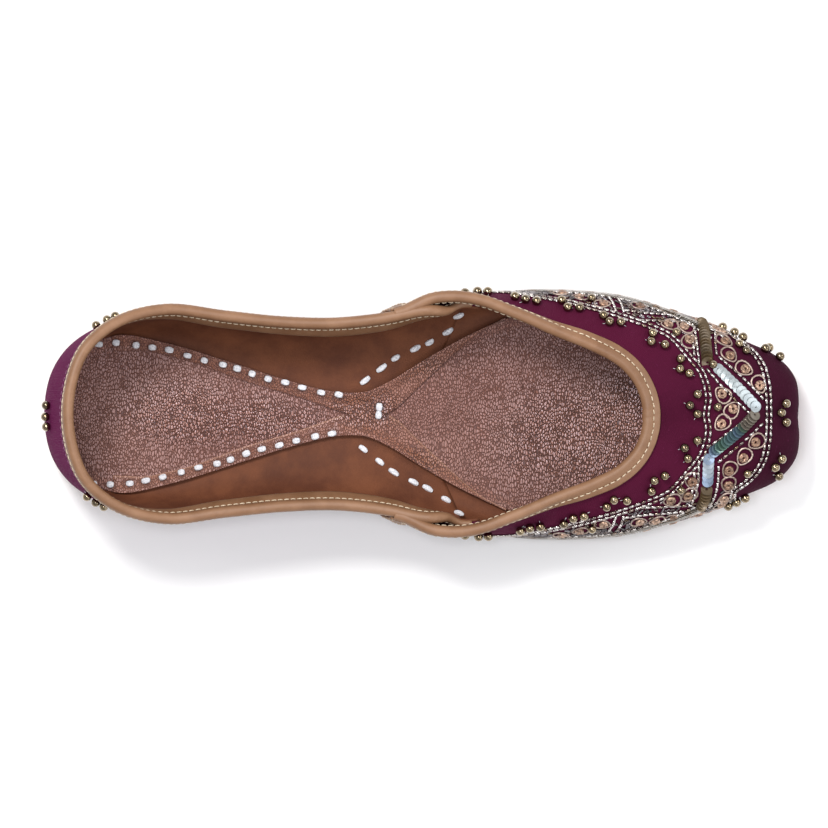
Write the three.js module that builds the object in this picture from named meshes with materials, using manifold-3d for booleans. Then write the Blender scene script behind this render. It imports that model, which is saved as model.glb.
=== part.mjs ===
// Mojari: a slip-on shoe with a hand-laced leather sole, a hollow upper and leather bindings.
// Millimetres, +X towards the toe, +Y towards the shoe's left side, +Z up, floor at Z = 0.
// Sections are measured from the back of the heel; the whole shoe is then centred on X.

import * as THREE from 'three';
import { mergeVertices } from 'three/addons/utils/BufferGeometryUtils.js';
import Module from 'manifold-3d';

// ---- driving sizes
const LENGTH = 250;
const HALF_BALL = 40;
const HEEL_HEIGHT = 57;
const THROAT_HEIGHT = 36;
const THROAT_X = 199;
const TOE_LEAN = 1.5;

const SOLE = 3.5;
const HEEL_LIFT = 3.2;
const WAIST_ARCH = 4.2;
const TOE_SPRING = 10;
const SEAT_END = 46;
const TREAD_START = 150;
const TREAD_END = 198;

const WALL = 2;
const VAMP_STEP = 1.6;
const FEATHER = 3.5;
const GAP = 0.3;
const BINDING = 0.8;
const BINDING_CLEAR = 0.45;
const FLAP = 5;
const STRIP = 1;
const STRIP_WIDTH = 5;
const STRIP_CLEAR = 0.4;
const STRIP_TOP = 0.985;
const PAD = 1.4;
const CROSS = 2;
const PAD_CLEAR = 1.8;
const LIFT_FRONT = 45.5;
const LIFT_SLANT = 1.5;

// ---- left halves of the insole's two pads, X and half width
const HEEL_DROP = [[23.7, 20.4], [33, 21], [48, 17.5], [67, 10.5], [84, 5.6], [99.5, 0]];
const FOREFOOT_DROP = [[115.5, 0], [118, 3], [126, 10.7], [137, 21]];

// ---- the last, from the heel's centre line to the toe's along the left side
// sole: its edge; side: the widest line of the wall; rim: the topline.
// X in shares of LENGTH, half widths in shares of HALF_BALL. sideUp is a share of the rim's height,
// rimUp a share of the straight line from the back of the heel to the throat, and roof says how far
// the wall turns over the toes: 0 is an upright collar, 1 the vamp's roof.
const COLUMNS = ['soleX', 'soleHalf', 'sideX', 'sideHalf', 'sideUp', 'rimX', 'rimHalf', 'rimUp', 'roof'];
const SECTIONS = [
  [0.002, 0.000, 0.000, 0.000, 0.36, 0.032, 0.000, 1.00, 0],
  [0.014, 0.375, 0.010, 0.350, 0.37, 0.040, 0.340, 0.99, 0],
  [0.041, 0.590, 0.038, 0.590, 0.40, 0.058, 0.575, 0.97, 0],
  [0.096, 0.725, 0.092, 0.770, 0.46, 0.100, 0.785, 0.92, 0],
  [0.168, 0.650, 0.168, 0.835, 0.54, 0.164, 0.885, 0.86, 0],
  [0.248, 0.500, 0.246, 0.795, 0.58, 0.242, 0.830, 0.85, 0],
  [0.324, 0.350, 0.322, 0.750, 0.60, 0.316, 0.782, 0.85, 0],
  [0.384, 0.258, 0.386, 0.735, 0.60, 0.386, 0.770, 0.86, 0],
  [0.412, 0.250, 0.425, 0.760, 0.58, 0.454, 0.815, 0.89, 0],
  [0.426, 0.262, 0.449, 0.795, 0.56, 0.486, 0.860, 0.92, 0],
  [0.452, 0.335, 0.486, 0.870, 0.54, 0.526, 0.912, 0.95, 0.1],
  [0.496, 0.505, 0.532, 0.925, 0.52, 0.574, 0.905, 0.97, 0.3],
  [0.556, 0.715, 0.584, 0.955, 0.50, 0.626, 0.805, 0.98, 0.5],
  [0.624, 0.888, 0.640, 0.966, 0.48, 0.676, 0.668, 0.98, 0.7],
  [0.696, 0.960, 0.704, 0.964, 0.47, 0.724, 0.555, 0.99, 0.85],
  [0.764, 0.938, 0.764, 0.930, 0.47, 0.760, 0.440, 1.00, 1],
  [0.824, 0.850, 0.824, 0.835, 0.48, 0.782, 0.300, 1.00, 1],
  [0.880, 0.728, 0.880, 0.722, 0.50, 0.792, 0.175, 1.00, 1],
  [0.928, 0.600, 0.928, 0.595, 0.53, 0.795, 0.100, 1.00, 1],
  [0.966, 0.485, 0.966, 0.482, 0.56, 0.796, 0.062, 1.00, 1],
  [0.988, 0.325, 0.988, 0.325, 0.58, 0.796, 0.035, 1.00, 1],
  [0.994, 0.150, 0.993, 0.155, 0.59, 0.796, 0.015, 1.00, 1],
  [0.994, 0.000, 0.992, 0.000, 0.59, 0.796, 0.000, 1.00, 1],
].map((row) => Object.fromEntries(row.map((value, i) => [COLUMNS[i], value])));

// Places along the shoe, counted in sections. BLUNT keeps the sole's two ends off its centre line.
const TOE = SECTIONS.length - 1;
const ROUND = 2 * TOE;
const BLUNT = 0.06;
const VAMP_EDGE = 9;
const STEP_RUN = 0.1;
const INSIDE_STEP = VAMP_EDGE + 0.5;
const QUARTER_END = 11.5;
const QUARTER_BOUND = 8.35;
const VAMP_BOUND = 9.15;
const STRIP_START = VAMP_EDGE + 1.3 * STEP_RUN;
const LIFT_END = 5;
const HEEL_PAD = [0.4, 9];
const CROSS_BAND = [2, 12];
const FOREFOOT_PAD = [9, TOE - 0.7];

// Steps in a section for the upper and for the flat layers, and steps up a rib.
const UPPER_STEPS = 2;
const PLATE_STEPS = 3;
const RISE_STEPS = 14;
const NEARBY = 0.02;

// ---- heights of the sole
const { clamp, lerp, smoothstep } = THREE.MathUtils;

function soleBottom(x) {
  if (x > TREAD_END) return TOE_SPRING * ((x - TREAD_END) / (LENGTH - TREAD_END)) ** 2;
  const share = clamp((x - SEAT_END) / (TREAD_START - SEAT_END), 0, 1);
  const seat = HEEL_LIFT + GAP;
  return seat * (1 - smoothstep(share, 0, 1)) + WAIST_ARCH * Math.sin(Math.PI * share) ** 2;
}

const soleTop = (x) => soleBottom(x) + SOLE;
const lean = (x) => -TOE_LEAN * smoothstep(x, 150, LENGTH);

// ---- lines around the shoe: u counts sections, 0 at the heel, TOE at the toe, ROUND back at the heel
function loop(place) {
  const left = SECTIONS.map(place);
  const right = left.slice(1, TOE).reverse().map((p) => new THREE.Vector3(p.x, -p.y, p.z));
  const curve = new THREE.CatmullRomCurve3([...left, ...right], true, 'centripetal');
  return (u) => curve.getPoint((((u % ROUND) + ROUND) % ROUND) / ROUND);
}

const collarLine = (x) => {
  const share = clamp(x / THROAT_X, 0, 1);
  return HEEL_HEIGHT + (THROAT_HEIGHT - HEEL_HEIGHT) * share;
};
const rimHeight = (row) => row.rimUp * collarLine(row.rimX * LENGTH);
const soleLine = loop((row) => new THREE.Vector3(row.soleX * LENGTH, row.soleHalf * HALF_BALL, 0));
const sideLine = loop((row) => new THREE.Vector3(
  row.sideX * LENGTH, row.sideHalf * HALF_BALL, row.sideUp * rimHeight(row)));
const rimLine = loop((row) => new THREE.Vector3(
  row.rimX * LENGTH, row.rimHalf * HALF_BALL, rimHeight(row)));
const roofLine = loop((row) => new THREE.Vector3(row.roof, 0, 0));

// The sole's edge moved inwards in plan. Its height is left at zero.
function insideSole(u, distance) {
  const point = soleLine(u);
  const ahead = soleLine(u + NEARBY).sub(soleLine(u - NEARBY)).normalize();
  point.x += distance * ahead.y;
  point.y -= distance * ahead.x;
  return point;
}

// ---- the upper's own surface
const RIB_STEPS = 24;

// How strongly a rib holds its direction at its foot, its widest line and its rim.
// Pairs run from an upright collar to the vamp's roof.
const FOOT_PULL = 0.62;
const SIDE_DROP = 0.5;
const SIDE_LIFT = [0.4, 0.65];
const RIM_PULL = [0.25, 0.4];
const RIM_DROP = [0.42, 0.08];

// One rib from the feather edge on the sole out to the widest line and up to the topline.
function ribCurve(u) {
  const foot = insideSole(u, FEATHER);
  foot.z = soleTop(foot.x) + GAP;
  const side = sideLine(u);
  const rim = rimLine(u);
  const roof = roofLine(u).x;
  const low = foot.clone().lerp(side, FOOT_PULL);
  low.z = soleTop(low.x) + GAP;
  const underSide = side.clone();
  underSide.z -= SIDE_DROP * (side.z - foot.z);
  const rise = rim.z - side.z;
  const overSide = side.clone();
  overSide.z += lerp(...SIDE_LIFT, roof) * rise;
  const nearRim = rim.clone().lerp(side, lerp(...RIM_PULL, roof));
  nearRim.z = rim.z - lerp(...RIM_DROP, roof) * rise;
  const path = new THREE.CurvePath();
  path.add(new THREE.CubicBezierCurve3(foot, low, underSide, side));
  path.add(new THREE.CubicBezierCurve3(side, overSide, nearRim, rim));
  return path;
}

const ribs = new Map();
function rib(u) {
  const key = u.toFixed(4);
  if (!ribs.has(key)) {
    const path = ribCurve(u);
    const points = path.getSpacedPoints(RIB_STEPS);
    ribs.set(key, { points, length: path.getLength() });
  }
  return ribs.get(key);
}

// The point at a share of a rib, 0 on the sole and 1 at the rim; past its ends it runs on straight.
function ribPoint(u, share) {
  const { points } = rib(u);
  const place = share * RIB_STEPS;
  const index = clamp(Math.floor(place), 0, RIB_STEPS - 1);
  const point = points[index].clone().lerp(points[index + 1], place - index);
  point.y += lean(point.x);
  return point;
}

function normalAt(u, share) {
  const within = clamp(share, NEARBY, 1 - NEARBY);
  const along = ribPoint(u + NEARBY, within).sub(ribPoint(u - NEARBY, within));
  const up = ribPoint(u, within + NEARBY).sub(ribPoint(u, within - NEARBY));
  return up.cross(along).normalize();
}

const wallPoint = (u, share, out) => ribPoint(u, share).addScaledVector(normalAt(u, share), out);
const rimPoint = (u, down, out) => wallPoint(u, 1 - down / rib(u).length, out);

// The vamp's outside stands above the quarters' from its rear edge on. Its inside follows once the
// quarters have ended under it. Both come to nothing where the wall turns in on the sole.
const around = (u) => ((u % ROUND) + ROUND) % ROUND;
const fromHeel = (u) => Math.min(around(u), ROUND - around(u));
const aboveSole = (u, share) => smoothstep(share * rib(u).length, FEATHER, 3 * FEATHER);

function outside(u, share) {
  return VAMP_STEP * clamp((fromHeel(u) - VAMP_EDGE) / STEP_RUN, 0, 1) * aboveSole(u, share);
}

function inside(u, share) {
  return VAMP_STEP * smoothstep(fromHeel(u), INSIDE_STEP, QUARTER_END) * aboveSole(u, share) - WALL;
}

// ---- solids from two matching grids of points
// A closed slab joins its last row to its first; an open one is capped at both ends.
function slab(front, back, closed) {
  const rows = front.length;
  const columns = front[0].length;
  const positions = [...front.flat(), ...back.flat()].flatMap((p) => [p.x, p.y, p.z]);
  const at = (side, i, j) => side * rows * columns + (i % rows) * columns + j;
  const faces = [];
  const quad = (a, b, c, d) => faces.push(a, b, c, a, c, d);
  const spans = closed ? rows : rows - 1;
  for (let i = 0; i < spans; i += 1) {
    for (let j = 0; j < columns - 1; j += 1) {
      quad(at(0, i, j), at(0, i + 1, j), at(0, i + 1, j + 1), at(0, i, j + 1));
      quad(at(1, i, j), at(1, i, j + 1), at(1, i + 1, j + 1), at(1, i + 1, j));
    }
    quad(at(1, i, 0), at(1, i + 1, 0), at(0, i + 1, 0), at(0, i, 0));
    const last = columns - 1;
    quad(at(0, i, last), at(0, i + 1, last), at(1, i + 1, last), at(1, i, last));
  }
  if (!closed) {
    for (let j = 0; j < columns - 1; j += 1) {
      quad(at(0, 0, j), at(0, 0, j + 1), at(1, 0, j + 1), at(1, 0, j));
      const end = rows - 1;
      quad(at(1, end, j), at(1, end, j + 1), at(0, end, j + 1), at(0, end, j));
    }
  }
  const geometry = new THREE.BufferGeometry();
  geometry.setAttribute('position', new THREE.Float32BufferAttribute(positions, 3));
  geometry.setIndex(faces);
  return facingOut(geometry);
}

// Turns every face round when the solid's signed volume is negative.
function facingOut(geometry) {
  const index = geometry.getIndex().array;
  const p = geometry.getAttribute('position');
  const corner = (k) => new THREE.Vector3().fromBufferAttribute(p, index[k]);
  let volume = 0;
  for (let k = 0; k < index.length; k += 3) {
    volume += corner(k).dot(corner(k + 1).cross(corner(k + 2)));
  }
  if (volume < 0) {
    for (let k = 0; k < index.length; k += 3) {
      [index[k + 1], index[k + 2]] = [index[k + 2], index[k + 1]];
    }
  }
  return geometry;
}

// A range in even steps, so many for each whole unit.
function steps(from, to, perUnit) {
  const count = Math.round((to - from) * perUnit);
  return Array.from({ length: count + 1 }, (_, i) => from + ((to - from) * i) / count);
}

// ---- cutting and joining
const wasm = await Module();
wasm.setup();

function toManifold(geometry) {
  const bare = geometry.clone();
  bare.deleteAttribute('normal');
  bare.deleteAttribute('uv');
  const merged = mergeVertices(bare, 1e-4);
  const vertProperties = new Float32Array(merged.getAttribute('position').array);
  const triVerts = new Uint32Array(merged.getIndex().array);
  return new wasm.Manifold(new wasm.Mesh({ numProp: 3, vertProperties, triVerts }));
}

function fromManifold(solid) {
  const mesh = solid.getMesh();
  const geometry = new THREE.BufferGeometry();
  geometry.setAttribute('position', new THREE.BufferAttribute(mesh.vertProperties, 3));
  geometry.setIndex(new THREE.BufferAttribute(mesh.triVerts, 1));
  return geometry;
}

// ---- sub-parts
function upper() {
  const quarters = steps(0, VAMP_EDGE, UPPER_STEPS);
  const half = [...quarters, VAMP_EDGE + STEP_RUN, ...steps(INSIDE_STEP, TOE, UPPER_STEPS)];
  const stations = [...half, ...half.slice(1, -1).reverse().map((u) => ROUND - u)];
  const shares = steps(0, 1, RISE_STEPS);
  const outer = stations.map((u) => shares.map((v) => wallPoint(u, v, outside(u, v))));
  const inner = stations.map((u) => shares.map((v) => wallPoint(u, v, inside(u, v))));
  return slab(outer, inner, true);
}

// One skin of a binding at a height above the wall: up its outside, over the rim, down its inside.
const FOLD = 0.4;
const CORNER = 0.7;
function bindingChain(u, height) {
  const out = outside(u, 1);
  const inn = inside(u, 1);
  return [
    [FLAP, out + height], [FLAP / 2, out + height], [FOLD, out + height],
    [-CORNER * height, out + CORNER * height], [-height, (out + inn) / 2],
    [-CORNER * height, inn - CORNER * height],
    [FOLD, inn - height], [FLAP / 2, inn - height], [FLAP, inn - height],
  ].map(([down, off]) => rimPoint(u, down, off));
}

function channel(from, to) {
  const stations = steps(from, to, UPPER_STEPS);
  return slab(
    stations.map((u) => bindingChain(u, BINDING_CLEAR + BINDING)),
    stations.map((u) => bindingChain(u, BINDING_CLEAR)),
    false,
  );
}

function quarterBinding() {
  return channel(-QUARTER_BOUND, QUARTER_BOUND);
}

// The strip down the vamp's rear edge, from its rim to the sole: side is 1 on the left, -1 on the right.
function edgeStrip(side) {
  const edge = STRIP_START;
  const reach = INSIDE_STEP - VAMP_EDGE;
  const perSection = (v) => ribPoint(edge + reach, v).distanceTo(ribPoint(edge, v)) / reach;
  const narrowest = perSection(0.7) / 2;
  const low = (FEATHER + WALL) / rib(edge).length;
  const skin = (height) => steps(low, STRIP_TOP, RISE_STEPS).map((v) => [0, 0.5, 1].map((across) => {
    const u = edge + (across * STRIP_WIDTH) / Math.max(perSection(v), narrowest);
    return wallPoint(side * u, v, outside(side * u, v) + height);
  }));
  return slab(skin(STRIP_CLEAR + STRIP), skin(STRIP_CLEAR), false);
}

function vampBinding() {
  const parts = [channel(VAMP_BOUND, ROUND - VAMP_BOUND), edgeStrip(1), edgeStrip(-1)];
  const [throat, left, right] = parts.map(toManifold);
  return fromManifold(throat.add(left).add(right));
}

// A plate across the shoe between two heights, for u from the heel towards the toe.
function plate(stations, inset, bottom, top) {
  const across = (u, height) => [u, ROUND - u].map((side) => {
    const point = insideSole(side, inset);
    return new THREE.Vector3(point.x, point.y + lean(point.x), height(point.x));
  });
  return slab(stations.map((u) => across(u, top)), stations.map((u) => across(u, bottom)), false);
}

function outsole() {
  return plate(steps(BLUNT, TOE - BLUNT, PLATE_STEPS), 0, soleBottom, soleTop);
}

// A tall block over an outline in plan, given by its left half from the rear to the front.
function block(half) {
  const left = half.map(([x, y]) => new THREE.Vector2(x, y));
  const right = half.map(([x, y]) => new THREE.Vector2(x, -y)).reverse();
  const shape = new THREE.Shape([...left, ...right]);
  const geometry = new THREE.ExtrudeGeometry(shape, { depth: 4 * TOE_SPRING, bevelEnabled: false });
  return geometry.translate(0, 0, -TOE_SPRING);
}

function heelLift() {
  const whole = toManifold(plate(steps(BLUNT, LIFT_END, PLATE_STEPS), 0, () => 0, () => HEEL_LIFT));
  const front = new THREE.Shape([
    new THREE.Vector2(-LENGTH, -LENGTH), new THREE.Vector2(LIFT_FRONT - LIFT_SLANT, -LENGTH / 4),
    new THREE.Vector2(LIFT_FRONT + LIFT_SLANT, LENGTH / 4), new THREE.Vector2(-LENGTH, LENGTH),
  ]);
  const cutter = new THREE.ExtrudeGeometry(front, { depth: 4 * TOE_SPRING, bevelEnabled: false });
  return fromManifold(whole.intersect(toManifold(cutter.translate(0, 0, -TOE_SPRING))));
}

// Well outside the shoe, for blocks that cut it; and the half width left at a drop's sharp tip.
const FAR = 2 * HALF_BALL;
const TIP = 0.05;
const smoothHalf = (points) => new THREE.SplineCurve(points.map(([x, y]) => new THREE.Vector2(x, y)))
  .getPoints(PLATE_STEPS * points.length).map((p) => [p.x, Math.max(p.y, TIP)]);

// The heel pad is a drop whose tip points at the toes; the forefoot pad's tip points at the heel.
function heelZone(grow) {
  const drop = smoothHalf(HEEL_DROP.map(([x, y]) => [x + grow, y + grow]));
  const [seam] = drop[0];
  return block([[-FAR, FAR], [seam, FAR], ...drop]);
}

function forefootZone(grow) {
  const drop = smoothHalf(FOREFOOT_DROP.map(([x, y]) => [x - grow, y + grow]));
  const [seam] = drop[drop.length - 1];
  return block([...drop, [seam, FAR], [LENGTH + FAR, FAR]]);
}

function insole([from, to], thickness) {
  const floor = (x) => soleTop(x) + GAP;
  const stations = steps(from, to, PLATE_STEPS);
  return toManifold(plate(stations, FEATHER + PAD_CLEAR, floor, (x) => floor(x) + thickness));
}

function heelSock() {
  return fromManifold(insole(HEEL_PAD, PAD).intersect(toManifold(heelZone(0))));
}

function forefootSock() {
  return fromManifold(insole(FOREFOOT_PAD, PAD).intersect(toManifold(forefootZone(0))));
}

function insoleCross() {
  const band = insole(CROSS_BAND, CROSS);
  return fromManifold(band.subtract(toManifold(heelZone(GAP))).subtract(toManifold(forefootZone(GAP))));
}

// ---- the shoe
const shoe = new THREE.Group();
shoe.position.x = -LENGTH / 2;

function add(name, geometry, color, roughness) {
  const material = new THREE.MeshStandardMaterial({ color, roughness, metalness: 0 });
  const mesh = new THREE.Mesh(geometry, material);
  mesh.name = name;
  shoe.add(mesh);
}

add('outsole', outsole(), 0xa01520, 0.5);
add('heel_lift', heelLift(), 0xa01520, 0.5);
add('heel_sock', heelSock(), 0x7d533a, 0.6);
add('forefoot_sock', forefootSock(), 0x7d533a, 0.6);
add('insole_cross', insoleCross(), 0x734834, 0.6);
add('upper', upper(), 0x661d4c, 0.8);
add('quarter_binding', quarterBinding(), 0xb4875c, 0.6);
add('vamp_binding', vampBinding(), 0xb4875c, 0.6);

export default shoe;
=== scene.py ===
"""A mojari: a slip-on shoe with a laced leather sole, an embroidered fabric upper and leather bindings.

The form functions work in millimetres from the back of the heel, with +X to the toe, and repeat the
frame's own sections. Meshes are in metres, in the frame's own place.
"""
import math
import random

import bmesh
import bpy
import numpy as np
from mathutils import Matrix, Vector
from mathutils.bvhtree import BVHTree


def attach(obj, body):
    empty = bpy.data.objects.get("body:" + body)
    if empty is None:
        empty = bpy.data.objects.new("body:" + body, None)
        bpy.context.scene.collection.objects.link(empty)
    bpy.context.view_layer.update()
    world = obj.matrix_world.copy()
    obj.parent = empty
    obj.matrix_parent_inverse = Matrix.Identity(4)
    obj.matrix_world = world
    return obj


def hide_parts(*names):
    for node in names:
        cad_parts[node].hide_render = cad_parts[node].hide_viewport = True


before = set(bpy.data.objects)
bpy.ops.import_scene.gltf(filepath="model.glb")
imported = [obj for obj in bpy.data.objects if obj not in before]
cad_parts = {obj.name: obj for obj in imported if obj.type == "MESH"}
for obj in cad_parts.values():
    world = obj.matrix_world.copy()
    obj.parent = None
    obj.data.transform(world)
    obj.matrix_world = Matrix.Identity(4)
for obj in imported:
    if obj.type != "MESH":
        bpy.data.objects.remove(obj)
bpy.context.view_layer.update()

# ---------------------------------------------------------------- driving sizes, millimetres
MM = 0.001
LENGTH = 250
HALF_BALL = 40
HEEL_HEIGHT = 57
THROAT_HEIGHT = 36
THROAT_X = 199
TOE_LEAN = 1.5
SOLE = 3.5
HEEL_LIFT = 3.2
WAIST_ARCH = 4.2
TOE_SPRING = 10
SEAT_END = 46
TREAD_START = 150
TREAD_END = 198
FEATHER = 3.5
GAP = 0.3
VAMP_STEP = 1.6
VAMP_EDGE = 9

# soleX, soleHalf, sideX, sideHalf, sideUp, rimX, rimHalf, rimUp, roof: one row a section, heel to toe
SECTIONS = np.array([
    (0.002, 0.000, 0.000, 0.000, 0.36, 0.032, 0.000, 1.00, 0),
    (0.014, 0.375, 0.010, 0.350, 0.37, 0.040, 0.340, 0.99, 0),
    (0.041, 0.590, 0.038, 0.590, 0.40, 0.058, 0.575, 0.97, 0),
    (0.096, 0.725, 0.092, 0.770, 0.46, 0.100, 0.785, 0.92, 0),
    (0.168, 0.650, 0.168, 0.835, 0.54, 0.164, 0.885, 0.86, 0),
    (0.248, 0.500, 0.246, 0.795, 0.58, 0.242, 0.830, 0.85, 0),
    (0.324, 0.350, 0.322, 0.750, 0.60, 0.316, 0.782, 0.85, 0),
    (0.384, 0.258, 0.386, 0.735, 0.60, 0.386, 0.770, 0.86, 0),
    (0.412, 0.250, 0.425, 0.760, 0.58, 0.454, 0.815, 0.89, 0),
    (0.426, 0.262, 0.449, 0.795, 0.56, 0.486, 0.860, 0.92, 0),
    (0.452, 0.335, 0.486, 0.870, 0.54, 0.526, 0.912, 0.95, 0.1),
    (0.496, 0.505, 0.532, 0.925, 0.52, 0.574, 0.905, 0.97, 0.3),
    (0.556, 0.715, 0.584, 0.955, 0.50, 0.626, 0.805, 0.98, 0.5),
    (0.624, 0.888, 0.640, 0.966, 0.48, 0.676, 0.668, 0.98, 0.7),
    (0.696, 0.960, 0.704, 0.964, 0.47, 0.724, 0.555, 0.99, 0.85),
    (0.764, 0.938, 0.764, 0.930, 0.47, 0.760, 0.440, 1.00, 1),
    (0.824, 0.850, 0.824, 0.835, 0.48, 0.782, 0.300, 1.00, 1),
    (0.880, 0.728, 0.880, 0.722, 0.50, 0.792, 0.175, 1.00, 1),
    (0.928, 0.600, 0.928, 0.595, 0.53, 0.795, 0.100, 1.00, 1),
    (0.966, 0.485, 0.966, 0.482, 0.56, 0.796, 0.062, 1.00, 1),
    (0.988, 0.325, 0.988, 0.325, 0.58, 0.796, 0.035, 1.00, 1),
    (0.994, 0.150, 0.993, 0.155, 0.59, 0.796, 0.015, 1.00, 1),
    (0.994, 0.000, 0.992, 0.000, 0.59, 0.796, 0.000, 1.00, 1),
])
TOE = len(SECTIONS) - 1
ROUND = 2 * TOE


# ---------------------------------------------------------------- the last
def smooth(x, low, high):
    share = np.clip((np.asarray(x, float) - low) / (high - low), 0, 1)
    return share * share * (3 - 2 * share)


def sole_bottom(x):
    x = np.asarray(x, float)
    share = np.clip((x - SEAT_END) / (TREAD_START - SEAT_END), 0, 1)
    waist = (HEEL_LIFT + GAP) * (1 - smooth(share, 0, 1)) + WAIST_ARCH * np.sin(math.pi * share) ** 2
    toe = TOE_SPRING * (np.maximum(x - TREAD_END, 0) / (LENGTH - TREAD_END)) ** 2
    return waist + toe


def sole_top(x):
    return sole_bottom(x) + SOLE


def lean(x):
    return -TOE_LEAN * smooth(x, 150, LENGTH)


def catmull(knots, u):
    """A closed centripetal Catmull-Rom curve through knots, at u counted in knots."""
    n = len(knots)
    u = np.mod(u, n)
    first = np.floor(u).astype(int) % n
    t = (u - np.floor(u))[:, None]
    p0, p1, p2, p3 = (knots[(first + k) % n] for k in (-1, 0, 1, 2))

    def span(a, b):
        return np.sqrt(np.linalg.norm(b - a, axis=1))[:, None]

    middle = span(p1, p2)
    middle = np.where(middle < 1e-4, 1.0, middle)
    before, after = span(p0, p1), span(p2, p3)
    before = np.where(before < 1e-4, middle, before)
    after = np.where(after < 1e-4, middle, after)
    t1 = ((p1 - p0) / before - (p2 - p0) / (before + middle) + (p2 - p1) / middle) * middle
    t2 = ((p2 - p1) / middle - (p3 - p1) / (middle + after) + (p3 - p2) / after) * middle
    c2 = -3 * p1 + 3 * p2 - 2 * t1 - t2
    c3 = 2 * p1 - 2 * p2 + t1 + t2
    return p1 + t1 * t + c2 * t * t + c3 * t ** 3


def loop(x, y, z):
    """Left half columns, mirrored into a closed line around the shoe."""
    left = np.stack([x, y, z], axis=1)
    right = left[1:TOE][::-1] * (1, -1, 1)
    knots = np.concatenate([left, right])
    return lambda u: catmull(knots, np.atleast_1d(np.asarray(u, float)))


S = SECTIONS.T
rim_x = S[5] * LENGTH
rim_up = S[7] * (HEEL_HEIGHT + (THROAT_HEIGHT - HEEL_HEIGHT) * np.clip(S[5] * LENGTH / THROAT_X, 0, 1))
sole_line = loop(S[0] * LENGTH, S[1] * HALF_BALL, 0 * S[0])
side_line = loop(S[2] * LENGTH, S[3] * HALF_BALL, S[4] * rim_up)
rim_line = loop(rim_x, S[6] * HALF_BALL, rim_up)
roof_line = loop(S[8], 0 * S[8], 0 * S[8])


def inside_sole(u, distance):
    """The sole's edge moved inwards in plan; its height is left at nothing."""
    point = sole_line(u)
    u = np.atleast_1d(np.asarray(u, float))
    ahead = sole_line(u + 0.02) - sole_line(u - 0.02)
    ahead /= np.linalg.norm(ahead, axis=1)[:, None]
    point[:, 0] += distance * ahead[:, 1]
    point[:, 1] -= distance * ahead[:, 0]
    return point


def bezier(a, b, c, d, t):
    t = t[None, :, None]
    a, b, c, d = (p[:, None, :] for p in (a, b, c, d))
    return a * (1 - t) ** 3 + 3 * b * t * (1 - t) ** 2 + 3 * c * t * t * (1 - t) + d * t ** 3


RIBS_A_SECTION = 16
SHARES = 120


def rib_table():
    """Points on every rib at even shares of its length, from the sole to the rim."""
    u = np.arange(ROUND * RIBS_A_SECTION) / RIBS_A_SECTION
    foot = inside_sole(u, FEATHER)
    foot[:, 2] = sole_top(foot[:, 0]) + GAP
    side, rim, roof = side_line(u), rim_line(u), roof_line(u)[:, :1]
    low = foot + 0.62 * (side - foot)
    low[:, 2] = sole_top(low[:, 0]) + GAP
    under = side.copy()
    under[:, 2] -= 0.5 * (side[:, 2] - foot[:, 2])
    rise = (rim[:, 2] - side[:, 2])[:, None]
    up = np.array([[0.0, 0.0, 1.0]])
    over = side + up * (0.4 + 0.25 * roof) * rise
    near = rim + (side - rim) * (0.25 + 0.15 * roof)
    near[:, 2:] = rim[:, 2:] - (0.42 - 0.34 * roof) * rise
    t = np.linspace(0, 1, 60)
    fine = np.concatenate([bezier(foot, low, under, side, t), bezier(side, over, near, rim, t)[:, 1:]], axis=1)
    steps = np.linalg.norm(np.diff(fine, axis=1), axis=2)
    run = np.concatenate([np.zeros((len(u), 1)), np.cumsum(steps, axis=1)], axis=1)
    even = np.linspace(0, 1, SHARES + 1)
    table = np.stack([
        np.stack([np.interp(even * run[i, -1], run[i], fine[i, :, k]) for k in range(3)], axis=1)
        for i in range(len(u))])
    table[:, :, 1] += lean(table[:, :, 0])
    return table, run[:, -1]


RIBS, RIB_LENGTH = rib_table()
along_u = np.roll(RIBS, -1, axis=0) - np.roll(RIBS, 1, axis=0)
along_v = np.gradient(RIBS, axis=1)
NORMALS = np.cross(along_v, along_u)
NORMALS /= np.linalg.norm(NORMALS, axis=2)[:, :, None]


def rib_length(u):
    place = np.mod(np.asarray(u, float), ROUND) * RIBS_A_SECTION
    return np.interp(place, np.arange(len(RIBS) + 1), np.append(RIB_LENGTH, RIB_LENGTH[0]))


def look_up(table, u, share):
    rows = len(table)
    a = np.mod(np.asarray(u, float), ROUND) * RIBS_A_SECTION
    b = np.clip(np.asarray(share, float), 0, 1) * SHARES
    i, j = np.floor(a).astype(int), np.minimum(np.floor(b).astype(int), SHARES - 1)
    s, t = (a - i)[..., None], (b - j)[..., None]
    i0, i1 = i % rows, (i + 1) % rows
    return (table[i0, j] * (1 - s) * (1 - t) + table[i1, j] * s * (1 - t)
            + table[i0, j + 1] * (1 - s) * t + table[i1, j + 1] * s * t)


def wall(u, share, out=0.0):
    """A point on the upper at section u and a share of its rib, moved out along the surface normal."""
    u, share, out = np.broadcast_arrays(*(np.asarray(a, float) for a in (u, share, out)))
    point = look_up(RIBS, u, share)
    beyond = (share - np.clip(share, 0, 1)) * rib_length(u)
    end = look_up(RIBS, u, np.where(share > 0.5, 1.0, 0.0))
    back = look_up(RIBS, u, np.where(share > 0.5, 0.97, 0.03))
    direction = (end - back) * np.where(share > 0.5, 1, -1)[..., None]
    direction /= np.linalg.norm(direction, axis=-1)[..., None]
    point = point + direction * beyond[..., None]
    normal = look_up(NORMALS, u, share)
    normal /= np.linalg.norm(normal, axis=-1)[..., None]
    return point + normal * out[..., None]


def from_rim(u, down, out=0.0):
    return wall(u, 1 - np.asarray(down, float) / rib_length(u), out)


def from_heel(u):
    u = np.mod(u, ROUND)
    return np.minimum(u, ROUND - u)


def above_sole(u, share):
    return smooth(share * rib_length(u), FEATHER, 3 * FEATHER)


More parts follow.
